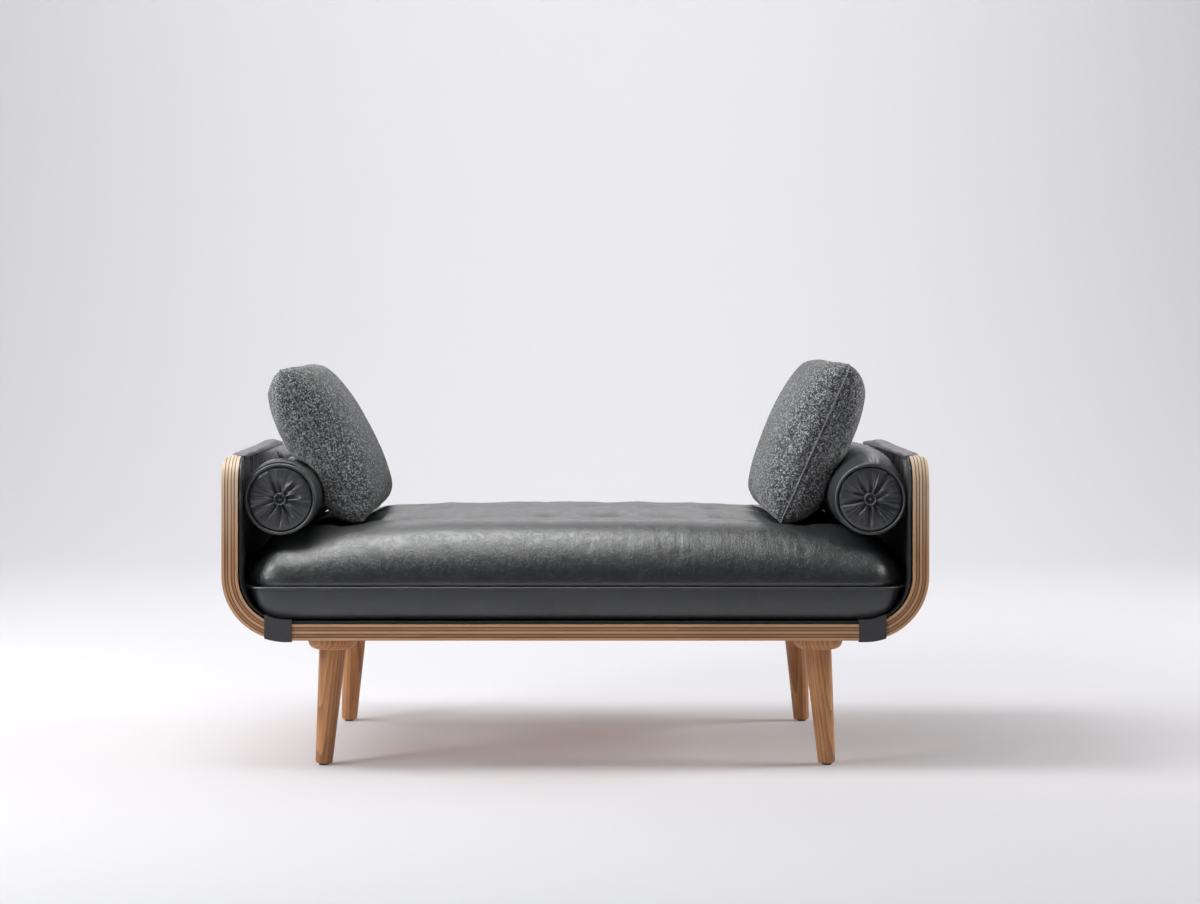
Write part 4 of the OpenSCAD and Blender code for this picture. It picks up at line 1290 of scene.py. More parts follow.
@dataclass
class Seat(Assembly):
    """The loose cushion: a tufted top, a lower boxing and the piping between them."""

    corner: float = 0.042
    piping: float = 0.006
    shoulder_h: float = 0.113
    crown: float = 0.016
    belly: float = 0.006
    ends: float = 0.075
    end_heights: tuple[float, float] = (0.084, 0.101)
    front: float = 0.090
    base_end: float = 0.074
    base_front: float = 0.012
    base_power: float = 2.2
    bunch: float = 0.014
    tufts: tuple[int, int] = (8, 3)
    pitch: tuple[float, float] = (0.124, 0.165)
    tuft_depth: float = 0.023
    tuft_reach: float = 0.038
    tuft_stretch: tuple[float, float, float] = (1.25, 0.62, 1.35)
    crease_depth: float = 0.0036
    edge_power: float = 2.6
    pillow_half: float = 0.238
    pillow_softness: float = 0.003
    cells: tuple[int, int] = (372, 216)
    base_cells: tuple[int, int] = (260, 150)
    pillows: tuple["Pillow", ...] = ()
    half: tuple[float, float] = field(init=False)

    def __post_init__(self) -> None:
        """Takes the outline from the piping."""
        _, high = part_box("seat_piping")
        self.half = (high.x - self.piping, high.y - self.piping)

    def corners(self, x: np.ndarray, y: np.ndarray) -> tuple[np.ndarray, np.ndarray]:
        """Draws the square corners of a plan in to round ones.

        Args:
            x: X of each point of the square plan.
            y: Y of each point.

        Returns:
            X and Y in the rounded plan.
        """
        flat_x = self.half[0] - self.corner
        flat_y = self.half[1] - self.corner
        p = np.maximum(np.abs(x) - flat_x, 0) / self.corner
        q = np.maximum(np.abs(y) - flat_y, 0) / self.corner
        round_x = np.where(p > 0, flat_x + self.corner * p * np.sqrt(1 - q * q / 2), np.abs(x))
        round_y = np.where(q > 0, flat_y + self.corner * q * np.sqrt(1 - p * p / 2), np.abs(y))
        return np.sign(x) * round_x, np.sign(y) * round_y

    def tuft_spots(self) -> list[tuple[float, float]]:
        """X and Y of every tuft."""
        columns, rows = self.tufts
        return [((i - (columns - 1) / 2) * self.pitch[0], (j - (rows - 1) / 2) * self.pitch[1])
                for i in range(columns) for j in range(rows)]

    def dimples(self, x: np.ndarray, y: np.ndarray) -> np.ndarray:
        """Depth of the tufts with the folds that run out of them.

        Args:
            x: X of each point.
            y: Y of each point.

        Returns:
            How far the surface lies below the plain crown.
        """
        rng = np.random.default_rng(4)
        wide, near_side, far_side = self.tuft_stretch
        deep = np.zeros_like(x)
        for spot_x, spot_y in self.tuft_spots():
            dx = x - spot_x - rng.uniform(-0.004, 0.004)
            dy = y - spot_y
            # The leather drops steeply on the near side and rises slowly on the far side
            reach = self.tuft_reach * rng.uniform(0.9, 1.12)
            far = np.hypot(dx / wide, np.where(dy < 0, dy / near_side, dy / far_side))
            bowl = self.tuft_depth * rng.uniform(0.8, 1.1) * np.exp(-(far / reach) ** 2)
            # A curved crease runs out to both sides, bent forward in the middle
            bend = dy + 0.006 - 3.2 * dx ** 2
            crease = self.crease_depth * np.exp(-(bend / 0.0045) ** 2) * np.exp(-(dx / 0.036) ** 4)
            fold = np.zeros_like(x)
            for angle in rng.uniform(0, 2 * math.pi, 4):
                long = rng.uniform(0.022, 0.05)
                out = dx * math.cos(angle) + dy * math.sin(angle)
                over = dy * math.cos(angle) - dx * math.sin(angle) + 2.2 * out ** 2
                ridge = np.exp(-(over / 0.005) ** 2) * np.exp(-(out / long) ** 2) * (out > 0)
                fold = np.maximum(fold, rng.uniform(0.0010, 0.0028) * ridge
                                  * np.clip(out / 0.004, 0, 1))
            deep = np.maximum(deep, bowl) + fold + crease
        return deep

    def top_shape(self, u: Points, v: Points) -> Points:
        """The top's skin, tufted, slightly uneven, and pressed in by what lies on it.

        Args:
            u: Along the bench, from -1 to 1.
            v: From front to back, from -1 to 1.

        Returns:
            The positions.
        """
        x = even(u, self.half[0], self.ends, self.shoulder_h)
        y = even(v, self.half[1], self.front, self.shoulder_h)
        px, py = self.corners(x, y)
        past_x = 1 - np.clip((self.half[0] - np.abs(x)) / self.ends, 0, 1)
        past_y = 1 - np.clip((self.half[1] - np.abs(y)) / self.front, 0, 1)
        past = past_x ** self.edge_power + past_y ** self.edge_power
        rise = np.sqrt(np.clip(1 - past ** (2 / self.edge_power), 0, 1))
        crown = (1 - (x / self.half[0]) ** 2) * (1 - (y / self.half[1]) ** 2)
        z = self.places.seam_z + self.height_at(x, y) * rise + self.crown * crown
        plan = np.stack([px, py, z], axis=1)
        calm = np.clip(rise * 1.6, 0, 1)
        z = z - self.dimples(x, y) * calm
        z = z + 0.0016 * waves(plan, 6, 1.0, 3) * calm
        z = z + 0.0007 * waves(plan * (3.0, 1.0, 1.0), 12, 2.0, 2) * calm
        over_x = np.maximum(np.abs(x) - self.half[0] + self.ends, 0)
        over_y = np.maximum(np.abs(y) - self.half[1] + self.front, 0)
        length = np.maximum(np.hypot(over_x, over_y), 1e-6)
        push = self.side_relief(np.stack([px, py, z], axis=1)) / length
        return self.press_in(np.stack([px + np.sign(x) * over_x * push,
                                       py + np.sign(y) * over_y * push, z], axis=1))

    def side_relief(self, skin: Points) -> np.ndarray:
        """How far the cushion's side stands out: its belly, with fine upright ripples.

        Args:
            skin: Points of the top's skin.

        Returns:
            The distance outwards at each point.
        """
        up = skin[:, 2] - self.places.seam_z
        # The ripples are strongest where the side turns over
        turn = np.exp(-((up - 0.062) / 0.034) ** 2) + 0.5 * np.exp(-up / 0.02)
        pucker = turn * np.clip(up / 0.004, 0, 1)
        upright = skin * (1.0, 1.0, 0.12)
        coarse = waves(upright, 30, 5.0, 2) * 0.0011
        fine = waves(upright, 95, 6.0, 2) * 0.00035
        belly = self.belly * ease(up, 0.0005, 0.009) * (1 - ease(up, 0.02, 0.09))
        return np.minimum((coarse + fine) * pucker, 0) - 0.0002 + belly

    def press_in(self, points: Points) -> Points:
        """Presses the skin in where the bolsters and the pillows lie on it."""
        for side in Side:
            centre = (side.value * self.places.bolster_x, self.places.bolster_z)
            points = keep_out(points, centre, self.places.bolster_r + TOUCH, 0.0018)
        soft = self.pillow_softness
        share = ease(self.pillow_half - np.abs(points[:, 1]), 0.0, 0.03)
        for pillow in self.pillows:
            under = pillow.underside(points[:, 0]) - 0.0006
            pressed = -soft * np.logaddexp(-points[:, 2] / soft, -under / soft)
            points[:, 2] += (pressed - points[:, 2]) * share
        return points

    def height_at(self, x: np.ndarray, y: np.ndarray) -> np.ndarray:
        """How high the cover stands over its seam: less at the ends, under the bolsters.

        Args:
            x: X of each point.
            y: Y of each point.

        Returns:
            The heights.
        """
        in_x = self.half[0] - np.abs(x)
        in_y = self.half[1] - np.abs(y)
        low, high = self.end_heights
        end = low + (high - low) * ease(in_y, 0.05, 0.14)
        risen = 1 - np.exp(-0.02 * np.logaddexp(0, (in_x - 0.095) / 0.02) / 0.085)
        bunched = self.bunch * bell(x, self.places.bolster_x - 0.068, 0.028) * ease(y, -0.26, 0.05)
        return end + (self.shoulder_h - end) * risen + bunched

    def base_shape(self, u: Points, v: Points) -> Points:
        """The lower boxing's skin: its ends follow the shell's bends."""
        rise = self.places.seam_z - self.places.seat_z
        x = even(u, self.half[0], self.base_end, rise)
        y = even(v, self.half[1], self.base_front, rise)
        px, py = self.corners(x, y)
        fall = arch(self.half[0] - np.abs(x), self.base_end) * arch(
            self.half[1] - np.abs(y), self.base_front, self.base_power)
        z = self.places.seam_z - rise * fall
        plan = np.stack([px, py, z], axis=1)
        sag = 0.0011 * waves(plan * (1.0, 1.0, 0.3), 9, 6.0, 3)
        side_on = np.clip(fall * 6, 0, 1) * (1 - fall ** 4)
        return np.stack([px, py + np.sign(y) * np.minimum(sag, 0) * side_on, z], axis=1)

    def close_rim(self, piece: bpy.types.Object, height: float) -> None:
        """Turns the open rim of a half cover in, and closes it at the middle.

        Args:
            piece: The half cover.
            height: Z of the closing face.
        """
        activate(piece)
        bpy.ops.object.mode_set(mode="EDIT")
        bpy.ops.mesh.select_mode(type="EDGE")
        bpy.ops.mesh.select_all(action="DESELECT")
        bpy.ops.mesh.select_non_manifold()
        bpy.ops.mesh.extrude_edges_move()
        bpy.ops.transform.resize(value=(0.96, 0.93, 1), center_override=(0, 0, height))
        bpy.ops.mesh.extrude_edges_move()
        bpy.ops.mesh.merge(type="CENTER")
        bpy.ops.object.mode_set(mode="OBJECT")
        close_up(piece, 1e-6)

    def rim_path(self, out: float, count: int = 900) -> Points:
        """Points round the rounded outline at the seam.

        Args:
            out: Distance outside the cover.
            count: How many points.

        Returns:
            The points, one row each.
        """
        flat_x = self.half[0] - self.corner
        flat_y = self.half[1] - self.corner
        radius = self.corner + out
        quarter = radius * math.pi / 2
        total = 4 * (flat_x + flat_y + quarter)
        # Each side runs straight from one corner's centre to the next, then turns a quarter
        sides = [(flat_x, -flat_y, 2 * flat_y), (flat_x, flat_y, 2 * flat_x),
                 (-flat_x, flat_y, 2 * flat_y), (-flat_x, -flat_y, 2 * flat_x)]
        found = []
        for k in range(count):
            run = k / count * total
            for turn, (start_x, start_y, straight) in enumerate(sides):
                if run <= straight + quarter:
                    break
                run -= straight + quarter
            spin = turn * math.pi / 2
            along = min(run, straight)
            angle = spin + max(run - straight, 0) / radius
            x = start_x - along * math.sin(spin) + radius * math.cos(angle)
            y = start_y + along * math.cos(spin) + radius * math.sin(angle)
            found.append((x, y, self.places.seam_z))
        path = np.array(found)
        path[:, 2] += 0.0005 * waves(path, 22, 8.0, 2)
        return path

    def build(self, rippled: bpy.types.Material, leather: bpy.types.Material,
              cord: bpy.types.Material, zip_tape: bpy.types.Material) -> None:
        """Makes the cushion.

        Args:
            rippled: The top's leather.
            leather: The boxing's leather.
            cord: The piping's leather.
            zip_tape: The zip's finish.
        """
        top = sheet_of("seat_top_cover", *self.cells, self.top_shape)
        self.close_rim(top, self.places.seam_z)
        smooth(top, 60)
        self.settle(top, rippled, "cushion_leather", "seat_cover_top", "seat_core",
                    "seat_tuft_ties")
        base = sheet_of("seat_lower_boxing", *self.base_cells, self.base_shape)
        self.close_rim(base, self.places.seam_z)
        smooth(base, 60)
        self.settle(base, leather, "cushion_leather", "seat_cover_base")
        piping = tube_of("seat_piping_cord", self.rim_path(self.piping / 2), self.piping / 2)
        smooth(piping)
        self.settle(piping, cord, "cushion_leather", "seat_piping")
        dress("seat_zip", zip_tape)


@dataclass
class Bolster(Assembly):
    """A leather roll with piped rims and pleated, buttoned ends."""

    side: Side
    length: float = 0.584
    taper: float = 0.003
    piping: float = 0.006
    pleats: int = 10
    disc_rise: float = 0.0065
    fold_depth: float = 0.0058
    button: float = 0.028
    clearance: float = 0.0356
    roll_share: float = 0.86
    disc_share: float = 0.84
    button_share: float = 0.85
    seed: int = 1

    @property
    def centre(self) -> tuple[float, float]:
        """X and Z of the roll's axis."""
        return self.side.value * self.places.bolster_x, self.places.bolster_z

    @property
    def tip_r(self) -> float:
        """The roll's radius at its ends."""
        return self.places.bolster_r - self.taper / 2

    def build(self, leather: bpy.types.Material, dark: bpy.types.Material) -> None:
        """Makes the roll and both its ends.

        Args:
            leather: The roll's leather.
            dark: The pleated ends' leather.
        """
        name = f"bolster_{self.side.word}"
        roll = sheet_of(f"{name}_roll", 224, 160, self.roll_shape)
        close_up(roll)
        smooth(roll, 60)
        self.settle(roll, leather, "cushion_leather", f"{name}_cover", f"{name}_core")
        for end, word in ((-1, "front"), (1, "back")):
            disc = sheet_of(f"{name}_{word}_pleats", 288, 44,
                            lambda u, v, e=end: self.disc_shape(u, v, e))
            close_up(disc)
            smooth(disc, 60)
            self.settle(disc, dark, "cushion_leather", f"{name}_ends")
            button = sheet_of(f"{name}_{word}_button", 96, 28,
                              lambda u, v, e=end: self.button_shape(u, v, e))
            close_up(button)
            smooth(button, 60)
            self.settle(button, dark, "cushion_leather", f"{name}_buttons")
            ring = tube_of(f"{name}_{word}_piping", self.ring_path(end), self.piping / 2)
            smooth(ring)
            self.settle(ring, leather, "cushion_leather", f"{name}_piping")

    def round_axis(self, angle: np.ndarray, radius: np.ndarray | float, y: np.ndarray) -> Points:
        """Points at an angle and a distance round the roll's axis."""
        return np.stack([self.centre[0] + radius * np.cos(angle), y,
                         self.centre[1] + radius * np.sin(angle)], axis=1)

    def ring_path(self, end: int, count: int = 180) -> Points:
        """Points round a rim for its piping, which wavers a little.

        Args:
            end: -1 for the front and 1 for the back.
            count: How many points.

        Returns:
            The points, one row each.
        """
        angle = np.linspace(0, 2 * math.pi, count, endpoint=False)
        y = 0 * angle + end * (self.length / 2 + self.piping / 2 - 0.0008)
        path = self.round_axis(angle, self.tip_r - self.piping / 2 - 0.0005, y)
        path[:, 1] += 0.0004 * waves(path, 60, 2.0 + end, 2)
        return path

    def roll_shape(self, u: Points, v: Points) -> Points:
        """The roll's skin: u goes round, v from front to back, turned in at both ends."""
        angle = (u + 1) * math.pi
        # The last share of v on each side runs in over the end, to the middle
        edge = self.roll_share
        along = np.clip(v / edge, -1, 1)
        inward = np.clip((np.abs(v) - edge) / (1 - edge), 0, 1)
        y = along * self.length / 2
        radius = self.places.bolster_r - self.taper / 2 * along ** 2
        around = np.stack([np.cos(angle), y * 2.0, np.sin(angle)], axis=1)
        lump = 0.0009 * np.minimum(waves(around, 2.2, self.seed + 1.0, 3), 0.0)
        radius = radius + self.swell(angle, self.length / 2 - np.abs(y))
        near = np.exp(-(self.length / 2 - np.abs(y)) / 0.026)
        pucker = -0.0022 * near * np.abs(waves(np.stack([np.cos(angle) * 6, np.sign(y),
                                                        np.sin(angle) * 6], axis=1),
                                              1.6, self.seed + 2.0, 2))
        radius = (radius + lump + pucker) * (1 - inward)
        y = y - np.sign(y) * 0.002 * np.clip(inward * 8, 0, 1)
        # The bench's end stops the roll
        wall = self.places.half_width - self.clearance - self.places.bolster_x
        out = np.minimum(radius * np.cos(angle) * self.side.value, wall)
        return np.stack([self.centre[0] + self.side.value * out, y,
                         self.centre[1] + radius * np.sin(angle)], axis=1)

    def swell(self, angle: np.ndarray, behind: np.ndarray) -> np.ndarray:
        """How far the roll is squeezed up between its pillow and the bench's end.

        Args:
            angle: Angle round the roll, from the bench's X.
            behind: Distance behind the nearest rim.

        Returns:
            What it adds to the radius.
        """
        turn = np.degrees(np.arctan2(np.sin(angle), np.cos(angle) * self.side.value))
        if self.side is Side.RIGHT:
            return 0.021 * (1 - np.exp(-behind / 0.05)) * bell(turn, 68, 38)
        shoulder = 0.008 * bell(behind, 0.020, 0.026) * bell(turn, 85, 55)
        return shoulder - 0.008 * ease(behind, 0.04, 0.12) * bell(turn, 90, 45)

    def disc_shape(self, u: Points, v: Points, end: int) -> Points:
        """A pleated end: u goes round, v from the middle out and back behind it.

        Args:
            u: Round the disc, from -1 to 1.
            v: From the middle at -1 to the rim and in again behind at 1.
            end: -1 for the front and 1 for the back.

        Returns:
            The positions.
        """
        rng = np.random.default_rng(self.seed * 10 + end + 1)
        angle = (u + 1) * math.pi
        rim = self.tip_r - self.piping * 0.93
        front = self.disc_share
        share = (v + 1) / 2
        out = np.clip(share / front, 0, 1)
        behind = np.clip((share - front) / (1 - front), 0, 1)
        radius = rim * np.where(behind > 0, 1 - behind, out)
        # A full cushion that drops into a groove inside the ring and under the button
        dome = self.disc_rise * (1 - out ** 16) - 0.0045 * bell(radius, 0, 0.014)
        dome = dome - 0.0035 * bell(out, 1, 0.03)
        fold = np.zeros_like(radius)
        for k in range(self.pleats):
            middle = (k + rng.uniform(0.25, 0.75)) * 2 * math.pi / self.pleats
            long = (rng.uniform(0.9, 1.15) if k % 2 else rng.uniform(0.5, 0.8)) * rim
            curl = rng.uniform(-7, 7)
            off = np.angle(np.exp(1j * (angle - middle - curl * (radius - 0.02)))) * radius
            wide = 0.0010 + 0.024 * radius
            fade = np.clip((long - radius) / (0.45 * long), 0, 1) ** 0.8
            deep = rng.uniform(0.7, 1.0) * fade * np.clip((radius - 0.004) / 0.008, 0, 1)
            # A pleat laps over on one side: a sharp edge there and a slow rise beyond it
            lap = np.where(off > 0, np.exp(-(off / wide) ** 2), np.exp(-(off / (3.2 * wide)) ** 2))
            fold = np.maximum(fold, deep * lap)
            puff = np.exp(-((off - 2.4 * wide) / (1.5 * wide)) ** 2)
            dome = dome + 0.0018 * deep * puff
        spokes = waves(np.stack([np.cos(angle) * 5, np.sin(angle) * 5, radius * 9], axis=1), 1.0,
                       self.seed + 5.0, 3)
        rays = waves(np.stack([np.cos(angle) * 15, np.sin(angle) * 15, radius * 6], axis=1), 1.0,
                     self.seed + 6.0, 2)
        calm = np.clip(out * 3, 0, 1) * (1 - out ** 8)
        dome = dome - self.fold_depth * fold + (0.0010 * spokes + 0.0006 * rays) * calm
        level = self.length / 2 - 0.0014
        y = end * (level + np.where(behind > 0, -0.006, dome))
        return self.round_axis(angle, radius, y)

    def button_shape(self, u: Points, v: Points, end: int) -> Points:
        """A covered button: a gathered roll round a small dished middle.

        Args:
            u: Round the button, from -1 to 1.
            v: From the middle at -1 to the rim and in again behind at 1.
            end: -1 for the front and 1 for the back.

        Returns:
            The positions.
        """
        angle = (u + 1) * math.pi
        share = (v + 1) / 2
        front = self.button_share
        out = np.clip(share / front, 0, 1)
        behind = np.clip((share - front) / (1 - front), 0, 1)
        rim = self.button / 2
        radius = rim * np.where(behind > 0, 1 - behind, out)
        roll = 0.0056 * bell(out, 0.72, 0.18)
        knob = 0.0040 * np.clip(1 - (out / 0.38) ** 2, 0, 1)
        gather = 0.0006 * np.sin(13 * angle + 5 * out + self.seed) * np.exp(
            -((out - 0.55) / 0.22) ** 2)
        twist = 0.0005 * np.sin(3 * angle + 9 * out) * np.clip(1 - out / 0.4, 0, 1) * (out > 0.05)
        level = self.length / 2 + self.disc_rise - 0.0062
        lift = roll + knob + gather + twist
        y = end * (level + np.where(behind > 0, -0.001, lift))
        return self.round_axis(angle, radius, y)


@dataclass
class Pillow(Assembly):
    """A stuffed wool pillow of two sewn panels, leaning on its bolster."""

    side: Side
    lean: float
    width: float = 0.430
    height: float = 0.345
    thickness: float = 0.154
    pinch: float = 0.04
    corner_draw: float = 0.07
    power: float = 2.6
    root: float = 2.4
    seam_r: float = 0.0017
    cells: int = 52
    swell_cap: float = 0.007
    loop_height: float = 0.0011
    sink: float = 0.017
    groove: float = 0.022
    groove_reach: float = 0.014
    settled: float = 0.8
    first_fill: float = 0.94
    seam_out: float = 1.006
    cord_room: float = 0.0022
    softness: float = 0.0022
    steps: int = 20
    seed: float = 1.0

    def outline(self, u: np.ndarray, v: np.ndarray) -> tuple[np.ndarray, np.ndarray]:
        """Where a point of the panel lies, with drawn-in sides and soft corners.

        Args:
            u: Across the panel, from -1 to 1.
            v: Up the panel, from -1 to 1.

        Returns:
            Distance across and up from the middle.
        """
        draw = 1 - self.corner_draw * (u * v) ** 6 * np.where(v < 0, 0.4, 1.0)
        across = self.width / 2 * u * (1 - self.pinch * (1 - v * v)) * draw
        up = self.height / 2 * v * (1 - self.pinch * (1 - u * u)) * draw
        return across, up

    def middle(self) -> tuple[float, float]:
        """X and Z of the pillow's middle, from the upper edge of its CAD seam."""
        low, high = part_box(f"pillow_{self.side.word}_seam")
        across = np.linspace(-1, 1, 41)
        half = float(self.outline(across, np.ones(41))[1].max()) + 0.0025
        angle = math.radians(self.lean)
        edge = low.x if self.side is Side.LEFT else high.x
        thick = 0.0006 * math.cos(angle)
        x = edge - self.side.value * (half * math.sin(angle) + thick)
        z = high.z - half * math.cos(angle) - 0.0006 * math.sin(angle)
        return x, z

    def to_bench(self, local: Points) -> Points:
        """Leans upright points back and puts them in their place on the bench."""
        angle = math.radians(self.lean) * self.side.value
        x, z = self.middle()
        out = local.copy()
        out[:, 0] = x + local[:, 0] * math.cos(angle) + local[:, 2] * math.sin(angle)
        out[:, 2] = z - local[:, 0] * math.sin(angle) + local[:, 2] * math.cos(angle)
        return out

    def fullness(self, b: np.ndarray, face: int) -> np.ndarray:
        """How full one side of the pillow is, from its lower edge to its upper one.

        Args:
            b: Up the pillow, from -1 to 1.
            face: 1 or -1 for the side. The one to the bench's middle has settled downwards.

        Returns:
            The fullness, from 0 to 1.
        """
        settled = self.settled if face == -self.side.value else 0.0
        return (1 - np.abs(b) ** (self.power + settled * ease(-b, 0.55, 0.95))).clip(0)

    def panel(self, u: Points, v: Points, face: int, fill: float) -> Points:
        """One panel, upright, bulging to one side.

        Args:
            u: Across, from -1 to 1.
            v: Up, from -1 to 1.
            face: 1 or -1 for the side that it bulges to.
            fill: Share of the full thickness.

        Returns:
            The positions.
        """
        a = np.sin(u * math.pi / 2)
        b = np.sin(v * math.pi / 2)
        across, up = self.outline(a, b)
        swell = (1 - np.abs(a) ** self.power).clip(0) * self.fullness(b, face)
        thick = face * fill * self.thickness / 2 * swell ** (1 / self.root)
        # The sides stand out a little past the seam, which lies in a groove
        full = 1 + self.groove * a ** 4 * (1 - bell(thick, 0, self.groove_reach))
        return np.stack([thick, across * full, up], axis=1)

    def underside(self, x: np.ndarray) -> np.ndarray:
        """How high the stuffed pillow's lowest skin lies over each X.

        Args:
            x: X of each point.

        Returns:
            The heights, far up where the pillow is not over a point.
        """
        b = np.sin(np.linspace(-math.pi / 2, math.pi / 2, 2001))
        up = self.height / 2 * (1 - self.pinch) * b
        plump = (self.thickness + self.swell_cap) / 2
        sides = [face * plump * self.fullness(b, face) ** (1 / self.root) for face in (1, -1)]
        section = np.stack([np.concatenate(sides), np.zeros(2 * len(b)), np.append(up, up)],
                           axis=1)
        skin = self.to_bench(section)
        places = np.arange(skin[:, 0].min() + 0.001, skin[:, 0].max(), 0.002)
        low = [skin[np.abs(skin[:, 0] - place) < 0.002, 2].min() for place in places]
        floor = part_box(f"pillow_{self.side.word}_inner_cover")[0].z - self.sink
        return np.interp(x, places, np.maximum(low, floor), left=9.0, right=9.0)

    def build(self, wool: bpy.types.Material, thread: bpy.types.Material) -> None:
        """Makes the stuffed cover and its seam.

        Args:
            wool: The cover's cloth.
            thread: The seam's finish.
        """
        name = f"pillow_{self.side.word}"
        halves = [sheet_of(f"{name}_{word}", self.cells, self.cells,
                           lambda u, v, f=face: self.panel(u, v, f, self.first_fill))
                  for face, word in ((1, "cover"), (-1, "other"))]
        activate(halves[0])
        halves[1].select_set(True)
        bpy.ops.object.join()
        cover = adopt(f"{name}_wool_cover")
        close_up(cover, 1e-5)
        rest = points_of(cover)
        self.stuff(cover)
        moved = points_of(cover) - rest
        far = np.linalg.norm(moved, axis=1, keepdims=True)
        cap = self.swell_cap / np.maximum(far, self.swell_cap)
        set_points(cover, rest + moved * cap)
        rim = self.rim_order(rest)
        modify(cover, "SUBSURF", levels=2, render_levels=2)
        shaped = self.crumple(points_of(cover))
        edge = shaped[rim] * (1.0, self.seam_out, self.seam_out)
        seam_path = self.rest_on(self.to_bench(edge), self.cord_room)
        set_points(cover, self.rest_on(self.to_bench(shaped), 0.0))
        self.raise_loops(cover)
        smooth(cover, 180)
        self.settle(cover, wool, "wool_boucle", f"{name}_inner_cover", f"{name}_outer_cover",
                    f"{name}_insert")
        seam = tube_of(f"{name}_seam_cord", seam_path, self.seam_r)
        smooth(seam)
        self.settle(seam, thread, "wool_boucle", f"{name}_seam")

    def stuff(self, cover: bpy.types.Object) -> None:
        """Blows the cover up as cloth."""
        activate(cover)
        cloth = cover.modifiers.new("stuffing", "CLOTH")
        settings = cloth.settings
        settings.quality = 6
        settings.mass = 0.3
        settings.tension_stiffness = 14
        settings.compression_stiffness = 14
        settings.shear_stiffness = 6
        settings.bending_stiffness = 1.2
        settings.shrink_min = -0.02
        settings.use_pressure = True
        settings.uniform_pressure_force = 4
        settings.effector_weights.gravity = 0
        cloth.collision_settings.use_collision = False
        scene = bpy.context.scene
        cloth.point_cache.frame_start = 1
        cloth.point_cache.frame_end = self.steps
        for step in range(1, self.steps + 1):
            scene.frame_set(step)
        bpy.ops.object.modifier_apply(modifier=cloth.name)
        scene.frame_set(1)

    def rim_order(self, rest: Points) -> np.ndarray:
        """Numbers of the seam's vertices, in order round the pillow."""
        rim = np.flatnonzero(np.abs(rest[:, 0]) < 1e-7)
        across = rest[rim, 1] / self.width
        up = rest[rim, 2] / self.height
        return rim[np.argsort(np.arctan2(up, across))]

    def crumple(self, local: Points) -> Points:
        """Adds slow dents and small puckers near the seam."""
        out = local.copy()
        lean = np.sign(local[:, 0])
        out[:, 0] += 0.0024 * waves(local, 9, self.seed, 2) * np.clip(
            np.abs(local[:, 0]) / 0.03, 0, 1)
        near = np.exp(-np.abs(local[:, 0]) / 0.010)
        ripple = waves(local * (0.2, 1.0, 1.0), 42, self.seed + 3.0, 2)
        out[:, 0] += lean * 0.0022 * near * ripple * np.clip(np.abs(local[:, 0]) / 0.002, 0, 1)
        return out

    def rest_on(self, points: Points, extra: float) -> Points:
        """Presses points out of the bolster and up off the seat.

        Args:
            points: Points on the bench.
            extra: Further room to leave.

        Returns:
            The moved points.
        """
        centre = (self.side.value * self.places.bolster_x, self.places.bolster_z)
        soft = self.softness
        out = keep_out(points, centre, self.places.bolster_r + TOUCH + extra, soft, True)
        low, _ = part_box(f"pillow_{self.side.word}_inner_cover")
        floor = low.z - self.sink + 0.0002 + extra
        out[:, 2] = np.where(out[:, 2] < floor + 8 * soft,
                             floor + soft * np.logaddexp(0, (out[:, 2] - floor) / soft),
                             out[:, 2])
        return out

    def raise_loops(self, cover: bpy.types.Object) -> None:
        """Raises the cloth's loops a little along the surface's normals."""
        points = points_of(cover)
        normals = np.array([v.normal for v in cover.data.vertices])
        lift = np.array([noise.noise(Vector(p) * 420) for p in points])
        set_points(cover, points + normals * (self.loop_height * lift)[:, None])


# Studio


@dataclass(frozen=True)
class Camera:
    """The photograph's camera: level, in front of the bench, with a lens shift."""

    distance: float = 4.333
    height: float = 0.817
    focal_px: float = 2360.0
    frame_px: tuple[float, float] = (1200.0, 904.0)
    middle_px: float = 575.3
    horizon_px: float = 327.0

    def build(self, places: Places) -> None:
        """Creates the camera and makes it the scene's own."""
        data = bpy.data.cameras.new("camera")
        data.sensor_width = 36.0
        data.lens = self.focal_px / self.frame_px[0] * data.sensor_width
        data.shift_x = (self.frame_px[0] / 2 - self.middle_px) / self.frame_px[0]
        data.shift_y = (self.horizon_px - self.frame_px[1] / 2) / self.frame_px[0]
        data.clip_end = 60.0
        camera = bpy.data.objects.new("camera", data)
        camera.location = (0, -places.half_depth - self.distance, self.height)
        camera.rotation_euler = (math.pi / 2, 0, 0)
        bpy.context.scene.collection.objects.link(camera)
        bpy.context.scene.camera = camera


@dataclass(frozen=True)
class Lamp:
    """A softbox: where it hangs, what it points at, its size and its power in watts.

    One that only gives sheen shows in glossy surfaces and lights nothing else. The spread is
    the width of its beam in degrees.
    """

    name: str
    place: tuple[float, float, float]
    target: tuple[float, float, float]
    size: tuple[float, float]
    power: float
    sheen: bool = False
    spread: float = 180.0

    def build(self) -> None:
        """Adds the lamp to the scene."""
        data = bpy.data.lights.new(self.name, "AREA")
        data.shape = "RECTANGLE"
        data.spread = math.radians(self.spread)
        data.size, data.size_y = self.size
        data.energy = self.power
        lamp = bpy.data.objects.new(self.name, data)
        lamp.location = self.place
        aim = Vector(self.target) - Vector(self.place)
        lamp.rotation_euler = aim.to_track_quat("-Z", "Y").to_euler()
        lamp.visible_diffuse = not self.sheen
        bpy.context.scene.collection.objects.link(lamp)


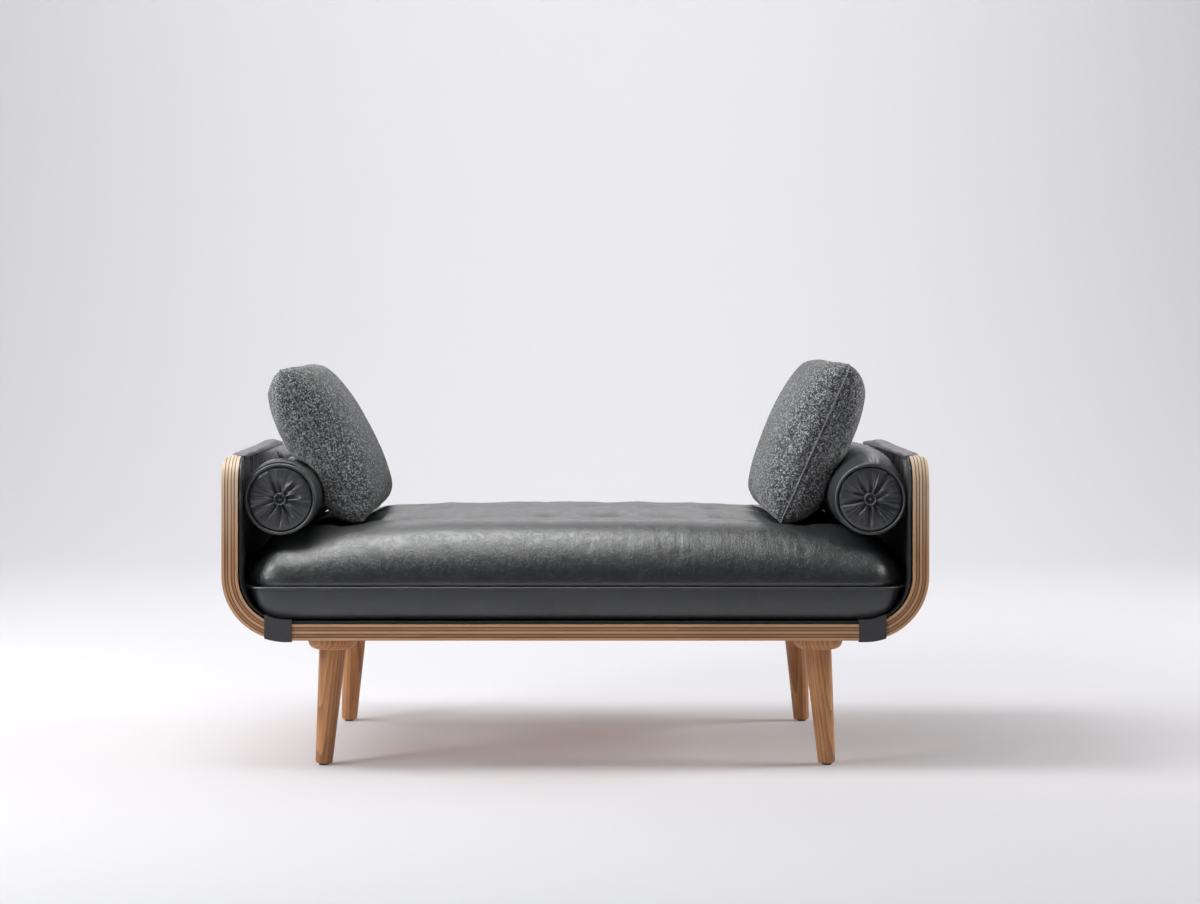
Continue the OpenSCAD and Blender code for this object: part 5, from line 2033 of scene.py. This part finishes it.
@dataclass(frozen=True)
class Studio:
    """A pale floor that sweeps up into a backdrop, and soft lamps."""

    floor_half: float = 9.0
    wall_y: float = 6.0
    sweep: float = 2.5
    wall_top: float = 9.0
    steps: int = 24
    paper_light: float = 0.08
    room_light: float = 0.05
    lamps: tuple[Lamp, ...] = (
        Lamp("key_left", (-3.3, -0.5, 4.3), (0.0, 0.0, 0.2), (2.2, 2.6), 130),
        Lamp("fill_left", (-3.4, -1.9, 1.6), (0.5, 0.0, 0.6), (1.0, 0.8), 12, spread=90.0),
        Lamp("strip_overhead", (-0.6, -0.5, 2.6), (-0.4, -0.25, 0.4), (1.8, 0.5), 14),
        Lamp("sheen_overhead", (-0.4, -0.6, 2.65), (-0.4, -0.35, 0.4), (1.5, 0.9), 42, True),
        Lamp("sheen_between", (-0.3, 1.2, 2.75), (-0.2, 0.0, 0.45), (3.0, 0.9), 15, True),
        Lamp("sheen_back", (-0.3, 3.0, 2.9), (-0.1, 0.0, 0.45), (3.4, 1.6), 34, True),
        Lamp("sheen_corner_left", (-2.05, -0.92, 1.85), (-0.57, -0.31, 0.39), (0.5, 0.5), 17, True),
        Lamp("sheen_corner_right", (1.95, -0.86, 1.7), (0.57, -0.31, 0.38), (0.4, 0.5), 13, True),
        Lamp("fill_right", (4.2, 0.4, 1.9), (0.0, 0.0, 0.2), (1.6, 1.6), 90),
        Lamp("kicker_left", (-2.6, 0.7, 1.3), (-0.4, 0.0, 0.2), (0.8, 0.8), 12),
        Lamp("backdrop_light", (0.0, 2.2, 3.6), (0.0, 6.0, 1.2), (5.0, 1.5), 104),
    )

    def build(self) -> None:
        """Makes the backdrop, the lamps and the world."""
        self.backdrop()
        for lamp in self.lamps:
            lamp.build()
        self.world()
        bpy.context.scene.view_settings.view_transform = "Standard"

    def backdrop(self) -> None:
        """The floor, swept up behind the bench by extruding its back edge."""
        deselect_all()
        bpy.ops.mesh.primitive_plane_add(size=2)
        floor = adopt("studio_floor")
        plan = points_of(floor)
        plan[:, 0] *= self.floor_half
        plan[:, 1] = np.where(plan[:, 1] > 0, self.wall_y - self.sweep, -self.floor_half)
        set_points(floor, plan)
        activate(floor)
        bpy.ops.object.mode_set(mode="EDIT")
        bpy.ops.mesh.select_mode(type="EDGE")
        bpy.ops.mesh.select_all(action="DESELECT")
        bpy.ops.object.mode_set(mode="OBJECT")
        for edge in floor.data.edges:
            edge.select = all(floor.data.vertices[k].co.y > 0 for k in edge.vertices)
        for vertex in floor.data.vertices:
            vertex.select = vertex.co.y > 0
        bpy.ops.object.mode_set(mode="EDIT")
        run = self.sweep * math.pi / 2 / self.steps
        for k in range(self.steps):
            turn = (k + 0.5) / self.steps * math.pi / 2
            bpy.ops.mesh.extrude_edges_move(TRANSFORM_OT_translate={
                "value": (0, run * math.cos(turn), run * math.sin(turn))})
        bpy.ops.mesh.extrude_edges_move(TRANSFORM_OT_translate={"value": (0, 0, self.wall_top)})
        bpy.ops.object.mode_set(mode="OBJECT")
        smooth(floor)
        floor.data.materials.append(self.paper())

    def paper(self) -> bpy.types.Material:
        """Pale paper that looks a little brighter, also where the leather mirrors it."""
        material = bpy.data.materials.new("studio_paper")
        material.use_nodes = True
        shader = material.node_tree.nodes["Principled BSDF"]
        shader.inputs["Base Color"].default_value = shade(236, 235, 239)
        shader.inputs["Roughness"].default_value = 0.9
        shader.inputs["Emission Color"].default_value = shade(250, 249, 252)
        wire = Wiring(material.node_tree)
        path = wire.node("LightPath")
        seen = wire.math("MAXIMUM", path.outputs["Is Camera Ray"], path.outputs["Is Glossy Ray"])
        glow = wire.math("MULTIPLY", seen, self.paper_light)
        wire.feed(shader.inputs["Emission Strength"], glow)
        return material

    def world(self) -> None:
        """A dim pale room, which gives the leather's camera side little light."""
        world = bpy.data.worlds.new("studio")
        bpy.context.scene.world = world
        world.use_nodes = True
        room = world.node_tree.nodes["Background"]
        room.inputs["Color"].default_value = shade(235, 235, 240)
        room.inputs["Strength"].default_value = self.room_light


def main() -> None:
    """Builds the studio and the bench, piece by piece."""
    logging.basicConfig(level=logging.INFO, format="%(message)s")
    places = Places.read()
    Camera().build(places)
    Studio().build()
    finish = Finish()
    rippled = finish.leather(SEAT_TOP_SHADED)
    seat_leather = finish.leather(SEAT_SIDE_LIT)
    end_leather = finish.leather(PLEATED)
    lining = finish.lining()
    cap_leather = finish.leather(CAP)
    strap = finish.leather(STRAP)
    boucle = finish.boucle()
    thread = finish.plain("grey_thread", shade(120, 121, 122), 0.8)
    tape = finish.plain("zip_tape", shade(24, 24, 26), 0.7)
    board = Board()
    Shell(places, "bench", board).build(finish, strap)
    Lining(places, "bench", board).build(lining, cap_leather, strap)
    pillows = (Pillow(places, "pillow_left", Side.LEFT, 29.0, thickness=0.146, groove=0.026,
                      seed=1.0),
               Pillow(places, "pillow_right", Side.RIGHT, 24.0, seed=2.0))
    seat = Seat(places, "seat_cushion", pillows=pillows)
    seat.build(rippled, seat_leather, end_leather, tape)
    for side in Side:
        bolster = Bolster(places, f"bolster_{side.word}", side, seed=3 + side.value)
        bolster.build(seat_leather, end_leather)
    for pillow in pillows:
        pillow.build(boucle, thread)


if __name__ == "__main__":
    main()
